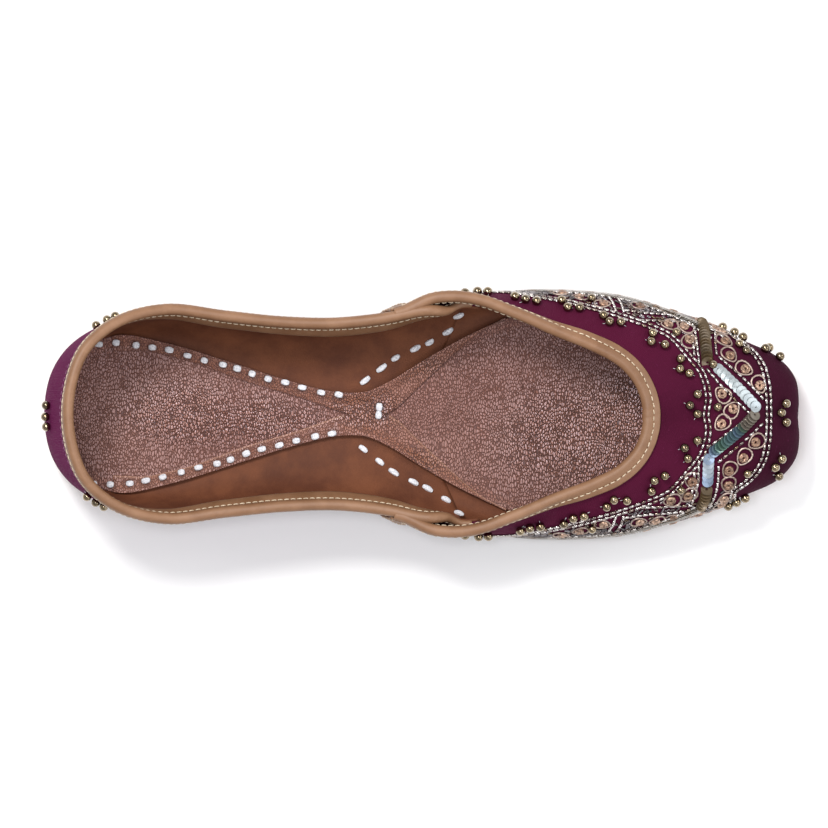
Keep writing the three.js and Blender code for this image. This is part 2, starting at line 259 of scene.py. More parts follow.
def vamp_out(u, share):
    """The vamp lies close at its rear edge, then stands a little away from the quarter inside it."""
    d = from_heel(u)
    close = 0.55 + 0.45 * smooth(d, VAMP_EDGE - 0.6, VAMP_EDGE + 1.2)
    flare = 1.5 * smooth(share, 0.45, 1) * smooth(d, 8.5, 9.9) * (1 - smooth(d, 10.2, 12.2))
    y = look_up(RIBS, u, share)[..., 1]
    front = smooth(d, 19.2, 21) * smooth(share, 0.1, 0.35) * (1 - smooth(share, 0.5, 0.8))
    worn = front * (0.9 * np.exp(-((y + 11.5) / 5) ** 2) - 0.8 * np.exp(-((y - 1.5) / 6) ** 2))
    return VAMP_STEP * above_sole(u, share) * close + flare + worn


def quarter_tuck(u, share):
    """The front ends of the quarters lie inside the wings."""
    d = from_heel(u)
    return -1.8 * smooth(share, 0.5, 1) * smooth(d, 9, 10.4) * (1 - smooth(d, 10.3, 11.1))


def dive(u):
    """How far the quarters' topline sinks at its front, to end hidden under the wings."""
    return 7.5 * smooth(from_heel(u), 9.5, 11)


def inner_lean(u, down):
    """At the waist the inside of the topline leans in, most at the lower edge of its tape."""
    waist = smooth(from_heel(u), 3, 5) * (1 - smooth(from_heel(u), 8.6, 10.4))
    return 1.9 * waist * smooth(down, 0.3, 6.5) * (1 - smooth(down, 7, 22))


# ---------------------------------------------------------------- mesh helpers
def to_frame(points):
    """Form millimetres to frame metres."""
    return (np.asarray(points, float) - (LENGTH / 2, 0, 0)) * MM


def show(name, mesh, material, replaces=()):
    thing = bpy.data.objects.new(name, mesh)
    bpy.context.scene.collection.objects.link(thing)
    for one in material if isinstance(material, (list, tuple)) else [material]:
        mesh.materials.append(one)
    mesh.polygons.foreach_set("use_smooth", [True] * len(mesh.polygons))
    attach(thing, "root")
    if replaces:
        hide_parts(*replaces)
    return thing


def line_length(points):
    return float(np.linalg.norm(np.diff(points, axis=0), axis=1).sum())


def grid_mesh(name, rows, columns, place, marks=None, seal=False, flip=False):
    """A bmesh grid shaped by place(i, j) -> points in form millimetres, with i and j as shares 0 to 1.

    Its UV map is in millimetres. marks are extra numbers on the points, {name: function of i and j}.
    """
    bm = bmesh.new()
    uv = bm.loops.layers.uv.new("UVMap")
    bmesh.ops.create_grid(bm, x_segments=rows - 1, y_segments=columns - 1, size=0.5)
    flat = np.array([v.co for v in bm.verts])
    i, j = np.clip(flat[:, 0] + 0.5, 0, 1), np.clip(flat[:, 1] + 0.5, 0, 1)
    even, half = np.linspace(0, 1, 200), np.full(200, 0.5)
    wide, tall = line_length(place(even, half)), line_length(place(half, even))
    for face in bm.faces:
        for corner in face.loops:
            corner[uv].uv = ((corner.vert.co.x + 0.5) * wide, (corner.vert.co.y + 0.5) * tall)
    layers = [(bm.verts.layers.float.new(mark), work(i, j)) for mark, work in (marks or {}).items()]
    for index, (vert, point) in enumerate(zip(bm.verts, to_frame(place(i, j)))):
        vert.co = point
        for layer, numbers in layers:
            vert[layer] = numbers[index]
    if flip:
        bmesh.ops.reverse_faces(bm, faces=bm.faces)
    if seal:
        bmesh.ops.remove_doubles(bm, verts=bm.verts, dist=2e-6)
        bmesh.ops.holes_fill(bm, edges=[e for e in bm.edges if e.is_boundary], sides=0)
        bmesh.ops.recalc_face_normals(bm, faces=bm.faces)
    mesh = bpy.data.meshes.new(name)
    bm.to_mesh(mesh)
    bm.free()
    return mesh


def thicken(thing, thickness, offset=-1.0):
    layer = thing.modifiers.new("thickness", "SOLIDIFY")
    layer.thickness = thickness * MM
    layer.offset = offset
    layer.use_quality_normals = False
    layer.use_even_offset = False
    return thing


def template(build):
    """A small bmesh shape as arrays, in millimetres. Sorted, because merging leaves its parts in any order."""
    bm = bmesh.new()
    build(bm)
    bmesh.ops.recalc_face_normals(bm, faces=bm.faces)
    verts = np.array([v.co for v in bm.verts])
    faces = [[v.index for v in f.verts] for f in bm.faces]
    bm.free()
    order = sorted(range(len(verts)), key=lambda old: tuple(verts[old]))
    new_index = {old: new for new, old in enumerate(order)}
    return verts[order], sorted([new_index[old] for old in face] for face in faces)


def scatter(name, shape, frames, tones=None):
    """One joined mesh with a copy of the template at each 4 x 4 frame, given in form millimetres.

    Each copy has its own number from 0 to 1, its shade.
    """
    verts, faces = shape
    frames = np.array(frames)
    count = len(frames)
    local = np.concatenate([verts, np.ones((len(verts), 1))], axis=1)
    placed = np.einsum("nij,vj->nvi", frames, local)[:, :, :3].reshape(-1, 3)
    all_faces = [[index + k * len(verts) for index in face] for k in range(count) for face in faces]
    mesh = bpy.data.meshes.new(name)
    mesh.from_pydata(to_frame(placed).tolist(), [], all_faces)
    shade = mesh.attributes.new("shade", "FLOAT", "POINT")
    tone = np.random.default_rng(7).random(count) if tones is None else np.array(tones)
    shade.data.foreach_set("value", np.repeat(tone, len(verts)))
    mesh.update()
    return mesh


def stand(point, normal, along, size=(1, 1, 1), lift=0.0):
    """A frame with its Z on the normal and its X along the given direction."""
    z = normal / np.linalg.norm(normal)
    x = along - z * np.dot(along, z)
    x = x / max(np.linalg.norm(x), 1e-9)
    y = np.cross(z, x)
    m = np.eye(4)
    m[:3, 0], m[:3, 1], m[:3, 2] = x * size[0], y * size[1], z * size[2]
    m[:3, 3] = point + z * lift
    return m


# ---------------------------------------------------------------- materials
class Value:
    """A number that varies over a surface. Arithmetic on it adds Math nodes."""

    def __init__(self, finish, socket):
        self.finish, self.socket = finish, socket

    def sum(self, operation, *values):
        inputs = {i: value for i, value in enumerate(values)}
        return self.finish.node("Math", {"operation": operation}, inputs)

    def __add__(self, other):
        return self.sum("ADD", self, other)

    def __radd__(self, other):
        return self.sum("ADD", other, self)

    def __sub__(self, other):
        return self.sum("SUBTRACT", self, other)

    def __rsub__(self, other):
        return self.sum("SUBTRACT", other, self)

    def __mul__(self, other):
        return self.sum("MULTIPLY", self, other)

    def __rmul__(self, other):
        return self.sum("MULTIPLY", other, self)

    def __truediv__(self, other):
        return self.sum("DIVIDE", self, other)

    def __rtruediv__(self, other):
        return self.sum("DIVIDE", other, self)

    def __pow__(self, other):
        return self.sum("POWER", self, other)

    def low(self, other):
        return self.sum("MINIMUM", self, other)

    def step(self, start, end):
        """0 below start, 1 above end, smooth between. start may be above end."""
        values = {"Value": self, "From Min": start, "From Max": end}
        return self.finish.node("MapRange", {"interpolation_type": "SMOOTHSTEP"}, values)


class Finish:
    """One material: its shader, and what feeds it."""

    def __init__(self, name, **shader):
        self.material = bpy.data.materials.new(name)
        self.material.use_nodes = True
        self.tree = self.material.node_tree
        self.shader = self.tree.nodes["Principled BSDF"]
        self.feed(**shader)

    def node(self, kind, settings, values, out=0):
        node = self.tree.nodes.new("ShaderNode" + kind)
        for key, value in settings.items():
            if key == "stops":
                ramp = node.color_ramp
                while len(ramp.elements) < len(value):
                    ramp.elements.new(1)
                for element, (place, colour) in zip(ramp.elements, value):
                    element.position, element.color = place, (*colour, 1)
            else:
                setattr(node, key, value)
        for key, value in values.items():
            self.join(value, node.inputs[key])
        return Value(self, node.outputs[out])

    def join(self, value, socket):
        if isinstance(value, Value):
            self.tree.links.new(value.socket, socket)
        elif isinstance(value, tuple) and len(value) == 3 and socket.type == "RGBA":
            socket.default_value = (*value, 1)
        else:
            socket.default_value = value

    def feed(self, **shader):
        for key, value in shader.items():
            self.join(value, self.shader.inputs[key.replace("_", " ").title().replace("Ior", "IOR")])

    def place(self):
        return self.node("TexCoord", {}, {}, out=3)

    def uv(self):
        return self.node("TexCoord", {}, {}, out=2)

    def attribute(self, name, out=2):
        return self.node("Attribute", {"attribute_name": name}, {}, out=out)

    def stretch(self, vector, scale, turn=(0, 0, 0)):
        return self.node("Mapping", {}, {"Vector": vector, "Rotation": turn, "Scale": scale})

    def noise(self, vector, scale, detail=2.0, rough=0.5, twist=0.0, colour=False):
        values = {"Vector": vector, "Scale": scale, "Detail": detail, "Roughness": rough, "Distortion": twist}
        return self.node("TexNoise", {}, values, out=1 if colour else 0)

    def cells(self, vector, scale, feature="F1", randomness=1.0, out=0):
        return self.node("TexVoronoi", {"feature": feature}, {
            "Vector": vector, "Scale": scale, "Randomness": randomness}, out=out)

    def warp(self, vector, scale, amount):
        """The vector moved about by coloured noise."""
        push = self.noise(vector, scale, 2.0, colour=True)
        centred = self.node("VectorMath", {"operation": "SUBTRACT"}, {0: push, 1: (0.5, 0.5, 0.5)})
        scaled = self.node("VectorMath", {"operation": "SCALE"}, {0: centred, "Scale": amount})
        return self.node("VectorMath", {"operation": "ADD"}, {0: vector, 1: scaled})

    def part(self, vector, axis):
        return self.node("SeparateXYZ", {}, {"Vector": vector}, out="XYZ".index(axis))

    def mix(self, share, first, second, blend="MIX"):
        settings = {"data_type": "RGBA", "blend_type": blend}
        return self.node("Mix", settings, {0: share, 6: first, 7: second}, out=2)

    def glossy_and_lit_zones(self, vector, zones):
        """1 in long ovals, each (x, y, width), and 0.3 elsewhere: where the grain is glossier and deeper, and where the
        colour keeps its painted light, with painted shade outside.
        """
        wander = self.noise(vector, 60, 3.0) * 0.012
        half = self.stretch(vector, (0.5, 1, 0))
        found = 0.3
        for x, y, width in zones:
            away = self.node("VectorMath", {"operation": "DISTANCE"}, {0: half, 1: (x / 2, y, 0)}, out=1)
            found = found + (away + wander).step(width + 0.008, width * 0.4 + 0.006) * 0.7
        return found.low(1)

    def bump(self, height, distance, strength=1.0, normal=None):
        values = {"Height": height, "Distance": distance, "Strength": strength}
        if normal is not None:
            values["Normal"] = normal
        return self.node("Bump", {}, values)


def linear(red, green, blue):
    """An everyday 0-255 colour as the shader's linear one."""
    def one(value):
        value /= 255
        return value / 12.92 if value <= 0.04045 else ((value + 0.055) / 1.055) ** 2.4
    return one(red), one(green), one(blue)


def embroidery_silk():
    """Purple silk suiting: fine weave, cloudy colour, and painted shade that darkens it over the vamp and most at the
    toe.
    """
    f = Finish("purple_silk", roughness=0.9, sheen_weight=0.03, sheen_roughness=0.4)
    at, weave = f.place(), f.uv()
    f.feed(sheen_tint=linear(190, 90, 150), specular_ior_level=0.12)
    cloud = f.noise(at, 55, 3.0)
    # Painted shade: the same silk is painted darker over the vamp than at the heel, and darker still towards the toe.
    tone = f.mix(f.part(at, "X").step(-0.1, 0.06), linear(94, 14, 68), linear(77, 14, 43))
    tone = f.mix(f.part(at, "X").step(0.085, 0.12), tone, linear(46, 7, 26))
    tone = f.mix((cloud - 0.5) * 0.6 + 0.25, tone, linear(56, 9, 34))
    threads = f.node("TexWave", {"bands_direction": "X"}, {"Vector": f.stretch(weave, (1, 1, 1)), "Scale": 0.55,
                     "Distortion": 0.6, "Detail": 1.0})
    across = f.node("TexWave", {"bands_direction": "Y"}, {"Vector": weave, "Scale": 0.55,
                    "Distortion": 0.6, "Detail": 1.0})
    slub = f.noise(f.stretch(weave, (0.3, 2.2, 1)), 1.0, 3.0)
    height = threads * 0.5 + across * 0.5 + slub * 0.8
    tone = f.mix((slub.step(0.62, 0.8)) * 0.25, tone, linear(150, 60, 115))
    f.feed(base_color=tone, roughness=0.8 + slub * 0.15, normal=f.bump(height, 0.00012, 0.8))
    return f.material


GLUED_CORNERS = ((0.027, 0.0275, 0.012), (0.027, -0.027, 0.012))


def grain_leather(name, dark, mid, light, shaded_tone, size, depth, rough, tint, zones,
                  directional=(1, 1, 1), edge=None, seam=0.85, shine=0.9):
    """Pebbled leather: small round warped grains run together in rows, glossier on their crowns.

    zones are the glossy places, where the colour keeps its painted light while painted shade darkens the rest; seam is
    how much painted shade darkens the lines between grains; edge is the colour of a natural edge.
    """
    f = Finish(name, specular_tint=(*tint, 1), specular_ior_level=shine)
    at = f.place()
    turn = f.warp(f.stretch(at, directional), 60, 0.006)
    bent = f.warp(turn, size * 0.5, 0.42 / size)
    gap = f.cells(bent, size, "DISTANCE_TO_EDGE", 0.85)
    dome = 1 - f.cells(bent, size, "F1", 0.85)
    crown = gap.step(0.0, 0.17) * 0.75 + dome * 0.25
    fine = f.noise(at, size * 3.5, 2.0)
    blotch = f.noise(at, 26, 3.0, 0.6)
    tone = f.mix(blotch.step(0.35, 0.68), mid, light)
    # Painted shade darkens the furrows between grains, as much as seam says.
    tone = f.mix(gap.step(0.13, 0.02) * seam, tone, dark)
    if edge:
        tone = f.mix(f.attribute("edge"), tone, edge)
        crown = crown * (1 - f.attribute("edge"))
    else:
        # Painted shade round each stitch, where it pulls the band down into a dimple.
        hole = f.attribute("hole")
        tone = f.mix(hole, tone, linear(44, 22, 16))
        # The band's cut edges get a painted highlight on the right half and a painted shadow on the left half, as the
        # light falls.
        cut = f.mix(f.part(at, "Y").step(-0.001, 0.001), linear(206, 160, 134), linear(66, 34, 26))
        tone = f.mix(f.attribute("cut") * 0.7, tone, cut)
        left, right = (f.node("VectorMath", {"operation": "DISTANCE"}, {0: at, 1: corner}, out=1)
                       for corner in GLUED_CORNERS)
        glue = (left.step(0.0085, 0.002) + right.step(0.0085, 0.002)) * f.noise(at, 240, 3.0, 0.7).step(0.42, 0.7)
        tone = f.mix(glue * 0.45, tone, linear(176, 156, 144))
    gloss_and_light = f.glossy_and_lit_zones(at, zones)
    # Painted shade: outside the glossy zones the colour is pulled towards the darker tone given for them.
    tone = f.mix((1 - gloss_and_light) * 0.45, tone, shaded_tone)
    f.feed(base_color=tone, roughness=rough + (1 - gloss_and_light) * 0.3 + crown.step(0.8, 0.35) * 0.3 + blotch * 0.08,
           normal=f.bump(crown * (0.35 + 0.65 * gloss_and_light) + fine * 0.12, depth, 1.0))
    return f.material


def smooth_leather(name, dark, light, rough):
    """Thin smooth leather: pores, soft rubbing and a little mottling."""
    f = Finish(name, specular_ior_level=0.25)
    at = f.place()
    pores = f.cells(f.warp(at, 700, 0.0006), 1500, "F1")
    mottle = f.noise(at, 70, 4.0, 0.62)
    broad = f.noise(at, 16, 2.0)
    tone = f.mix(mottle.step(0.3, 0.75) * 0.8 + broad * 0.2, dark, light)
    f.feed(base_color=tone, roughness=rough + mottle * 0.18,
           normal=f.bump(pores * 0.6 + mottle * 0.8, 0.00012, 0.8))
    return f.material


def tape_leather():
    """Tan binding: smooth sheep leather, with a painted highlight along its roll and painted shade in its folds."""
    f = Finish("tan_leather", specular_ior_level=0.45)
    at = f.place()
    roll = f.attribute("roll")
    mottle = f.noise(at, 110, 4.0, 0.6)
    broad = f.noise(at, 22, 2.0)
    tone = f.mix(mottle.step(0.3, 0.72), linear(118, 82, 56), linear(140, 103, 76))
    # Painted highlight along the roll, and painted shade in the folds away from it.
    tone = f.mix(roll * 0.2, tone, linear(150, 114, 86))
    tone = f.mix((1 - roll) * broad * 0.7, tone, linear(98, 70, 44))
    wrinkle = f.noise(at, 420, 3.0, 0.6)
    f.feed(base_color=tone, roughness=0.42 + mottle * 0.2,
           normal=f.bump(wrinkle * 0.7 + mottle * 0.4, 0.00018, 0.8))
    return f.material


def cotton(name, colour, shadow, rough=0.85):
    f = Finish(name, sheen_weight=0.2)
    at = f.place()
    fibre = f.noise(f.stretch(at, (1, 1, 1)), 1500, 3.0, 0.7)
    f.feed(base_color=f.mix(fibre.step(0.3, 0.65), shadow, colour), roughness=rough,
           normal=f.bump(fibre, 0.0002, 0.9))
    return f.material


def metal(name, stops, rough, metallic=1.0, coat=0.0, rub=0.0):
    """Plated beads, wire or foil: each one's own tone comes from its shade number, and rub is how much painted shade
    darkens the hollows of its bump.
    """
    f = Finish(name, coat_weight=coat, coat_roughness=0.06)
    shade = f.attribute("shade")
    tone = f.node("ValToRGB", {"stops": stops}, {"Fac": shade})
    mottle_and_shade = f.noise(f.place(), 1300, 2.0)
    # Painted shade in the hollows of the bump.
    if rub:
        tone = f.mix(mottle_and_shade.step(0.62, 0.36) * rub, tone, linear(74, 52, 44))
    f.feed(base_color=tone, metallic=metallic, roughness=rough + mottle_and_shade * 0.14)
    if rub:
        f.feed(normal=f.bump(mottle_and_shade, 0.00012, rub))
    return f.material


def plain_floor():
    f = Finish("pale_floor", roughness=0.9, specular_ior_level=0.1)
    f.feed(base_color=f.mix(f.noise(f.place(), 3.0) * 0.15, (0.93, 0.93, 0.93), (0.9, 0.9, 0.9)))
    return f.material


SILK = embroidery_silk()
SOLE_RED = grain_leather("red_sole_leather", linear(112, 4, 12), linear(146, 7, 15), linear(162, 11, 26),
                         linear(134, 5, 10), 800, 0.00012, 0.36, (1.0, 0.8, 0.92),
                         ((-0.04, 0, 0.02), (0.01, 0, 0.02)), edge=linear(172, 156, 136), seam=0.12, shine=0.4)
SOCK_BROWN = grain_leather("brown_sock_leather", linear(66, 36, 29), linear(143, 93, 76), linear(160, 112, 96),
                           linear(116, 70, 52), 1020, 0.0006, 0.22, (0.84, 0.86, 1.0),
                           ((-0.078, 0, 0.013), (-0.048, -0.002, 0.009), (0.06, -0.008, 0.024), (0.09, 0, 0.014)),
                           (1.45, 0.75, 1))
BAND_BROWN = grain_leather("brown_band_leather", linear(66, 36, 29), linear(144, 94, 72), linear(158, 108, 86),
                           linear(130, 80, 58), 1040, 0.0005, 0.24, (0.88, 0.86, 1.0),
                           ((-0.018, 0.001, 0.007), (0.001, 0.016, 0.006), (0.002, -0.016, 0.005)), (1.3, 0.85, 1))
LINING = smooth_leather("brown_lining", linear(80, 42, 26), linear(112, 66, 42), 0.62)
TAN = tape_leather()
WHITE = cotton("white_cotton", linear(232, 232, 236), linear(178, 180, 188))
CREAM = cotton("cream_thread", linear(226, 208, 182), linear(168, 146, 118), 0.7)
MAUVE = cotton("mauve_thread", linear(150, 90, 130), linear(96, 40, 74), 0.7)
GOLD = metal("pyrite_gold", [(0, linear(118, 100, 72)), (0.5, linear(146, 128, 98)), (1, linear(104, 88, 64))], 0.12,
             1.0, 1.0)
BUGLE = metal("antique_bugle", [(0, linear(92, 74, 66)), (0.2, linear(180, 172, 168)), (0.75, linear(208, 202, 198)),
                                (1, linear(116, 92, 70))], 0.14, 1.0, 0.8)
PURL = metal("silver_gold_purl", [(0, linear(34, 22, 28)), (0.3, linear(84, 74, 76)), (0.55, linear(84, 62, 38)),
                                  (0.85, linear(142, 136, 142)), (1, linear(50, 36, 28))], 0.18, 1.0, 0.5)
LOOP = metal("pale_zari", [(0, linear(204, 184, 172)), (1, linear(174, 154, 144))], 0.36, 0.7, 0.0, 0.35)
STONE = metal("peach_coil", [(0, linear(178, 140, 116)), (0.5, linear(200, 166, 142)), (1, linear(152, 114, 90))], 0.28,
              0.5, 0.3, 0.85)
FOIL = metal("foil_sequin", [(0, linear(172, 180, 182)), (0.3, linear(128, 144, 166)), (0.5, linear(92, 112, 134)),
                             (0.7, linear(80, 110, 96)), (0.85, linear(128, 120, 110)), (1, linear(96, 78, 54))],
             0.22, 0.55, 0.4)


# ---------------------------------------------------------------- the fabric upper and its lining
def wing_edge(share):
    """Where the vamp starts: its top corner reaches back over the quarter."""
    return VAMP_EDGE - 0.75 * smooth(share, 0.72, 1)


def vamp_at(i, j, out=0.0):
    edge = wing_edge(j)
    u = edge + i * (ROUND - 2 * edge)
    return wall(u, j, vamp_out(u, j) + out)


def quarter_at(i, j, out=0.0):
    u = (2 * i - 1) * 11.4
    return wall(u, j * (1 - dive(u) / rib_length(u)), quarter_tuck(u, j) + out)


def soft_wave(x, y, size, amount):
    """A gentle unevenness of hand-made work, the same at each run."""
    return amount * (np.sin(x / size + 1.3) * np.cos(y / size * 1.3 + 0.4) + 0.5 * np.sin((x + y) / size * 2.1))


vamp = show("vamp_silk", grid_mesh("vamp_silk", 330, 62, vamp_at, flip=True), SILK, ("upper",))
thicken(vamp, 0.8)
quarter = show("quarter_silk", grid_mesh("quarter_silk", 260, 44, quarter_at, flip=True), SILK)
thicken(quarter, 0.8)
lining = show("vamp_lining", grid_mesh("vamp_lining", 220, 40, lambda i, j: vamp_at(i, j, -0.85), flip=True), LINING)
thicken(lining, 0.8)


def quarter_lining_at(i, j):
    u = (2 * i - 1) * 11.4
    down = (1 - j) * rib_length(u)
    return quarter_at(i, j, -0.85 - inner_lean(u, down) + soft_wave(u * 9, down, 8, 0.1))


quarter_lining = show("quarter_lining", grid_mesh("quarter_lining", 220, 48, quarter_lining_at, flip=True), LINING)
thicken(quarter_lining, 0.9)


# ---------------------------------------------------------------- tan bindings
def hem(across, out, inn, flap_out, flap_in):
    """A folded tape's own line, as (down from the rim, height off the wall), for shares across it."""
    radius = (out - inn) / 2
    start = 0.45
    s = np.asarray(across, float)
    angle = np.clip((s - 0.36) / 0.28, 0, 1) * math.pi
    down = np.where(s < 0.36, flap_out + (start - flap_out) * s / 0.36,
                    np.where(s > 0.64, start + (flap_in - start) * (s - 0.64) / 0.36,
                             start - radius * np.sin(angle)))
    off = (out + inn) / 2 + radius * np.cos(angle)
    return down, off


def groove(across, at, depth):
    """Where a row of stitches pulls the tape in."""
    return depth * np.exp(-((across - at) / 0.028) ** 2)


def quarter_hem(i, j):
    u = (2 * i - 1) * 11.2
    tuck = quarter_tuck(u, 1.0)
    pinch = 1 - 0.7 * smooth(from_heel(u), 9.8, 11)
    down, off = hem(j, 0.12 + tuck, 0.12 + tuck - 2.02 * pinch, 4.6 * pinch, 6.4 * pinch)
    off = off - np.where(j > 0.6, inner_lean(u, down), 0) - groove(j, 0.2, 0.16) + groove(j, 0.745, 0.28)
    return from_rim(u, down + dive(u), off + soft_wave(u * 8, down * 3, 9, 0.08))


def vamp_hem(i, j):
    u = wing_edge(1.0) + 0.04 + i * (ROUND - 2 * wing_edge(1.0) - 0.08)
    out = vamp_out(u, 1.0)
    start = smooth(from_heel(u), wing_edge(1.0), wing_edge(1.0) + 0.5)
    wide = (2.4 + 2.1 * smooth(from_heel(u), 10.5, 14)) * (0.35 + 0.65 * start)
    down, off = hem(j, 0.12 + out, out - 1.6 - 0.3 * start, wide, 4.4 * (0.4 + 0.6 * start))
    off = off - groove(j, 0.19, 0.2)
    return from_rim(u, down, off + soft_wave(u * 8, down * 3, 8, 0.07))


# Where the tape gets its painted highlight: the middle of its roll.
def roll_highlight_mark(i, j):
    return np.exp(-((j - 0.5) / 0.12) ** 2)


def tape(name, rows, place, replaces=()):
    thing = show(name, grid_mesh(name, rows, 34, place, {"roll": roll_highlight_mark}, flip=True), TAN,
                 replaces)
    return thicken(thing, 0.85, 1.0)


tape("quarter_tape", 300, quarter_hem, ("quarter_binding",))
tape("vamp_tape", 360, vamp_hem, ("vamp_binding",))


def strip_at(side, i, j):
    """The strip sewn down the vamp's rear edge, from the rim to the sole."""
    share = 0.13 + i * 0.86
    edge = wing_edge(share)
    spread = np.linalg.norm(wall(edge + 0.4, share) - wall(edge, share), axis=-1) / 0.4
    u = edge + (j * 5.2 - 0.5) / np.maximum(spread, 4)
    bulge = 0.12 + 0.3 * np.sin(math.pi * j)
    return wall(side * u, share, vamp_out(u, share) + bulge)


for side, hand in ((1, "left"), (-1, "right")):
    # The strip's roll mark paints a highlight along its rolled edge.
    mesh = grid_mesh(f"wing_strip_{hand}", 90, 14, lambda i, j: strip_at(side, i, j),
                     {"roll": lambda i, j: np.exp(-((j - 0.12) / 0.2) ** 2)}, flip=side < 0)
    thicken(show(f"wing_strip_{hand}", mesh, TAN), 0.7, 1.0)


# ---------------------------------------------------------------- soles
def edge_stations(u_end, pitch):
    """Places along the sole's left edge, u from the heel, about pitch millimetres apart."""
    fine = np.linspace(0.02, u_end, 4000)
    points = sole_line(fine)
    run = np.concatenate([[0], np.cumsum(np.linalg.norm(np.diff(points, axis=0), axis=1))])
    return np.interp(np.linspace(0, run[-1], int(run[-1] / pitch)), run, fine)


CORNERS = (0, 0.6, 0.66, 0.94, 1)


def plate_at(u_end, bottom, top, inset=0.0, press=None):
    """A closed section swept along the sole: under it, up its left edge, back over it, down its right edge."""
    stations = edge_stations(u_end, 1.0)

    def place(i, j):
        u = np.interp(i, np.linspace(0, 1, len(stations)), stations)
        left = inside_sole(u, inset)
        half, x = np.abs(left[:, 1]), left[:, 0]
        face = np.maximum(half - 0.45, 0)
        t = np.interp(j, CORNERS, (0, 0, 1, 1, 0))
        bulge = np.where(on_side(j), (half - face) * np.sqrt(np.clip(1 - (2 * t - 1) ** 4, 0, 1)), 0)
        y = np.interp(j, CORNERS, (-1, 1, 1, -1, -1)) * (face + bulge) + lean(x)
        z = bottom(x) + (top(x) - bottom(x)) * t
        if press is not None:
            under = (j <= CORNERS[1] + 1e-6) | (j >= 1 - 1e-6)
            z = np.where(under, np.maximum(z + press(x, y), 0), z)
        return np.stack([x, y, z], axis=1)
    return place, len(stations)


def on_side(j):
    return ((j > 0.601) & (j < 0.659)) | (j > 0.941)


def edge_mark(i, j):
    """The sole's edge and its upper face are left natural: only its underside is dyed."""
    return np.where(j > 0.601, 1.0, 0.0)


def lacing_along(u_start, u_end, pitch, inset):
    """Stitch places round the sole's edge: x, y and the way the edge runs."""
    fine = np.linspace(u_start, u_end, 3000)
    points = inside_sole(fine, 0.0)
    run = np.concatenate([[0], np.cumsum(np.linalg.norm(np.diff(points, axis=0), axis=1))])
    count = int(round(run[-1] / pitch))
    u = np.interp((np.arange(count) + 0.5) * run[-1] / count, run, fine)
    depth = inset(inside_sole(u, 0.0)[:, 0])
    place = np.concatenate([inside_sole(np.array([one]), d) for one, d in zip(u, depth)])
    ahead = sole_line(u + 0.05) - sole_line(u - 0.05)
    place[:, 1] += lean(place[:, 0])
    return [(p[0], p[1], math.atan2(a[1], a[0])) for p, a in zip(place, ahead)]


def dimples(places, depth, reach):
    spots = np.array([(x, y) for x, y, _ in places])

    def press(x, y):
        near = ((x[:, None] - spots[None, :, 0]) ** 2 + (y[:, None] - spots[None, :, 1]) ** 2) / reach ** 2
        pucker = 0.3 * np.exp(-((np.sqrt(near) - 1.7) / 0.5) ** 2)
        return depth * (np.exp(-near) - pucker).sum(axis=1)
    return press


random.seed(11)
LIFT_FRONT = 45.5
tread_lacing = lacing_along(4.3, ROUND - 4.3, 5.1, lambda x: 4.1 - 2.3 * smooth(x, 225, 246))
seat_lacing = [(x, y, a) for x, y, a in lacing_along(-4.1, 4.1, 6.4, lambda x: 4.3 + 0 * x) if x < LIFT_FRONT - 2]
press_tread = dimples(tread_lacing + [(117, 0, 0)], 1.0, 2.3)
press_seat = dimples(seat_lacing, 0.8, 2.2)
CREASES = ((103, 0.6, 1.4), (107.5, 0.9, 1.1), (113, 0.75, 1.4), (119, 0.85, 1.2), (125.5, 0.55, 1.6))


def under_sole(x, y):
    """Dimples under the lacing, walking creases across the waist and a little softness all over."""
    creases = sum(depth * np.exp(-((x - at - 1.2 * np.sin(y * 0.22 + at)) / width) ** 2)
                  for at, depth, width in CREASES)
    ridges = sum(0.3 * depth * np.exp(-((x - at - 2.6) / (1.6 * width)) ** 2) for at, depth, width in CREASES)
    oval = np.hypot((x - 158) / 11.5, y / 9.5)
    ornament = 0.32 * np.exp(-((oval - 1) / 0.07) ** 2) + 0.25 * np.exp(-((oval - 0.62) / 0.08) ** 2)
    return press_tread(x, y) + creases - ridges + ornament + soft_wave(x, y, 13, 0.08)


place, count = plate_at(TOE - 0.02, sole_bottom, sole_top, press=under_sole)
show("laced_outsole", grid_mesh("laced_outsole", count, 132, place, {"edge": edge_mark}, seal=True), SOLE_RED,
     ("outsole",))


def heel_lift():
    """The extra layer under the heel, cut off square and a little slanted at its front."""
    place, count = plate_at(5.0, lambda x: 0 * x, lambda x: HEEL_LIFT + 0 * x,
                            press=lambda x, y: press_seat(x, y) + np.abs(soft_wave(x, y, 11, 0.05)))
    mesh = grid_mesh("heel_lift", count, 110, place, {"edge": edge_mark}, seal=True)
    bm = bmesh.new()
    bm.from_mesh(mesh)
    bmesh.ops.bisect_plane(bm, geom=bm.verts[:] + bm.edges[:] + bm.faces[:], dist=1e-7,
                           plane_co=to_frame([LIFT_FRONT, 0, 0]).tolist(), plane_no=(1, -0.045, 0), clear_outer=True)
    bmesh.ops.holes_fill(bm, edges=[e for e in bm.edges if e.is_boundary], sides=0)
    bmesh.ops.recalc_face_normals(bm, faces=bm.faces)
    bm.to_mesh(mesh)
    bm.free()
    return mesh


show("heel_lift_layer", heel_lift(), SOLE_RED, ("heel_lift",))


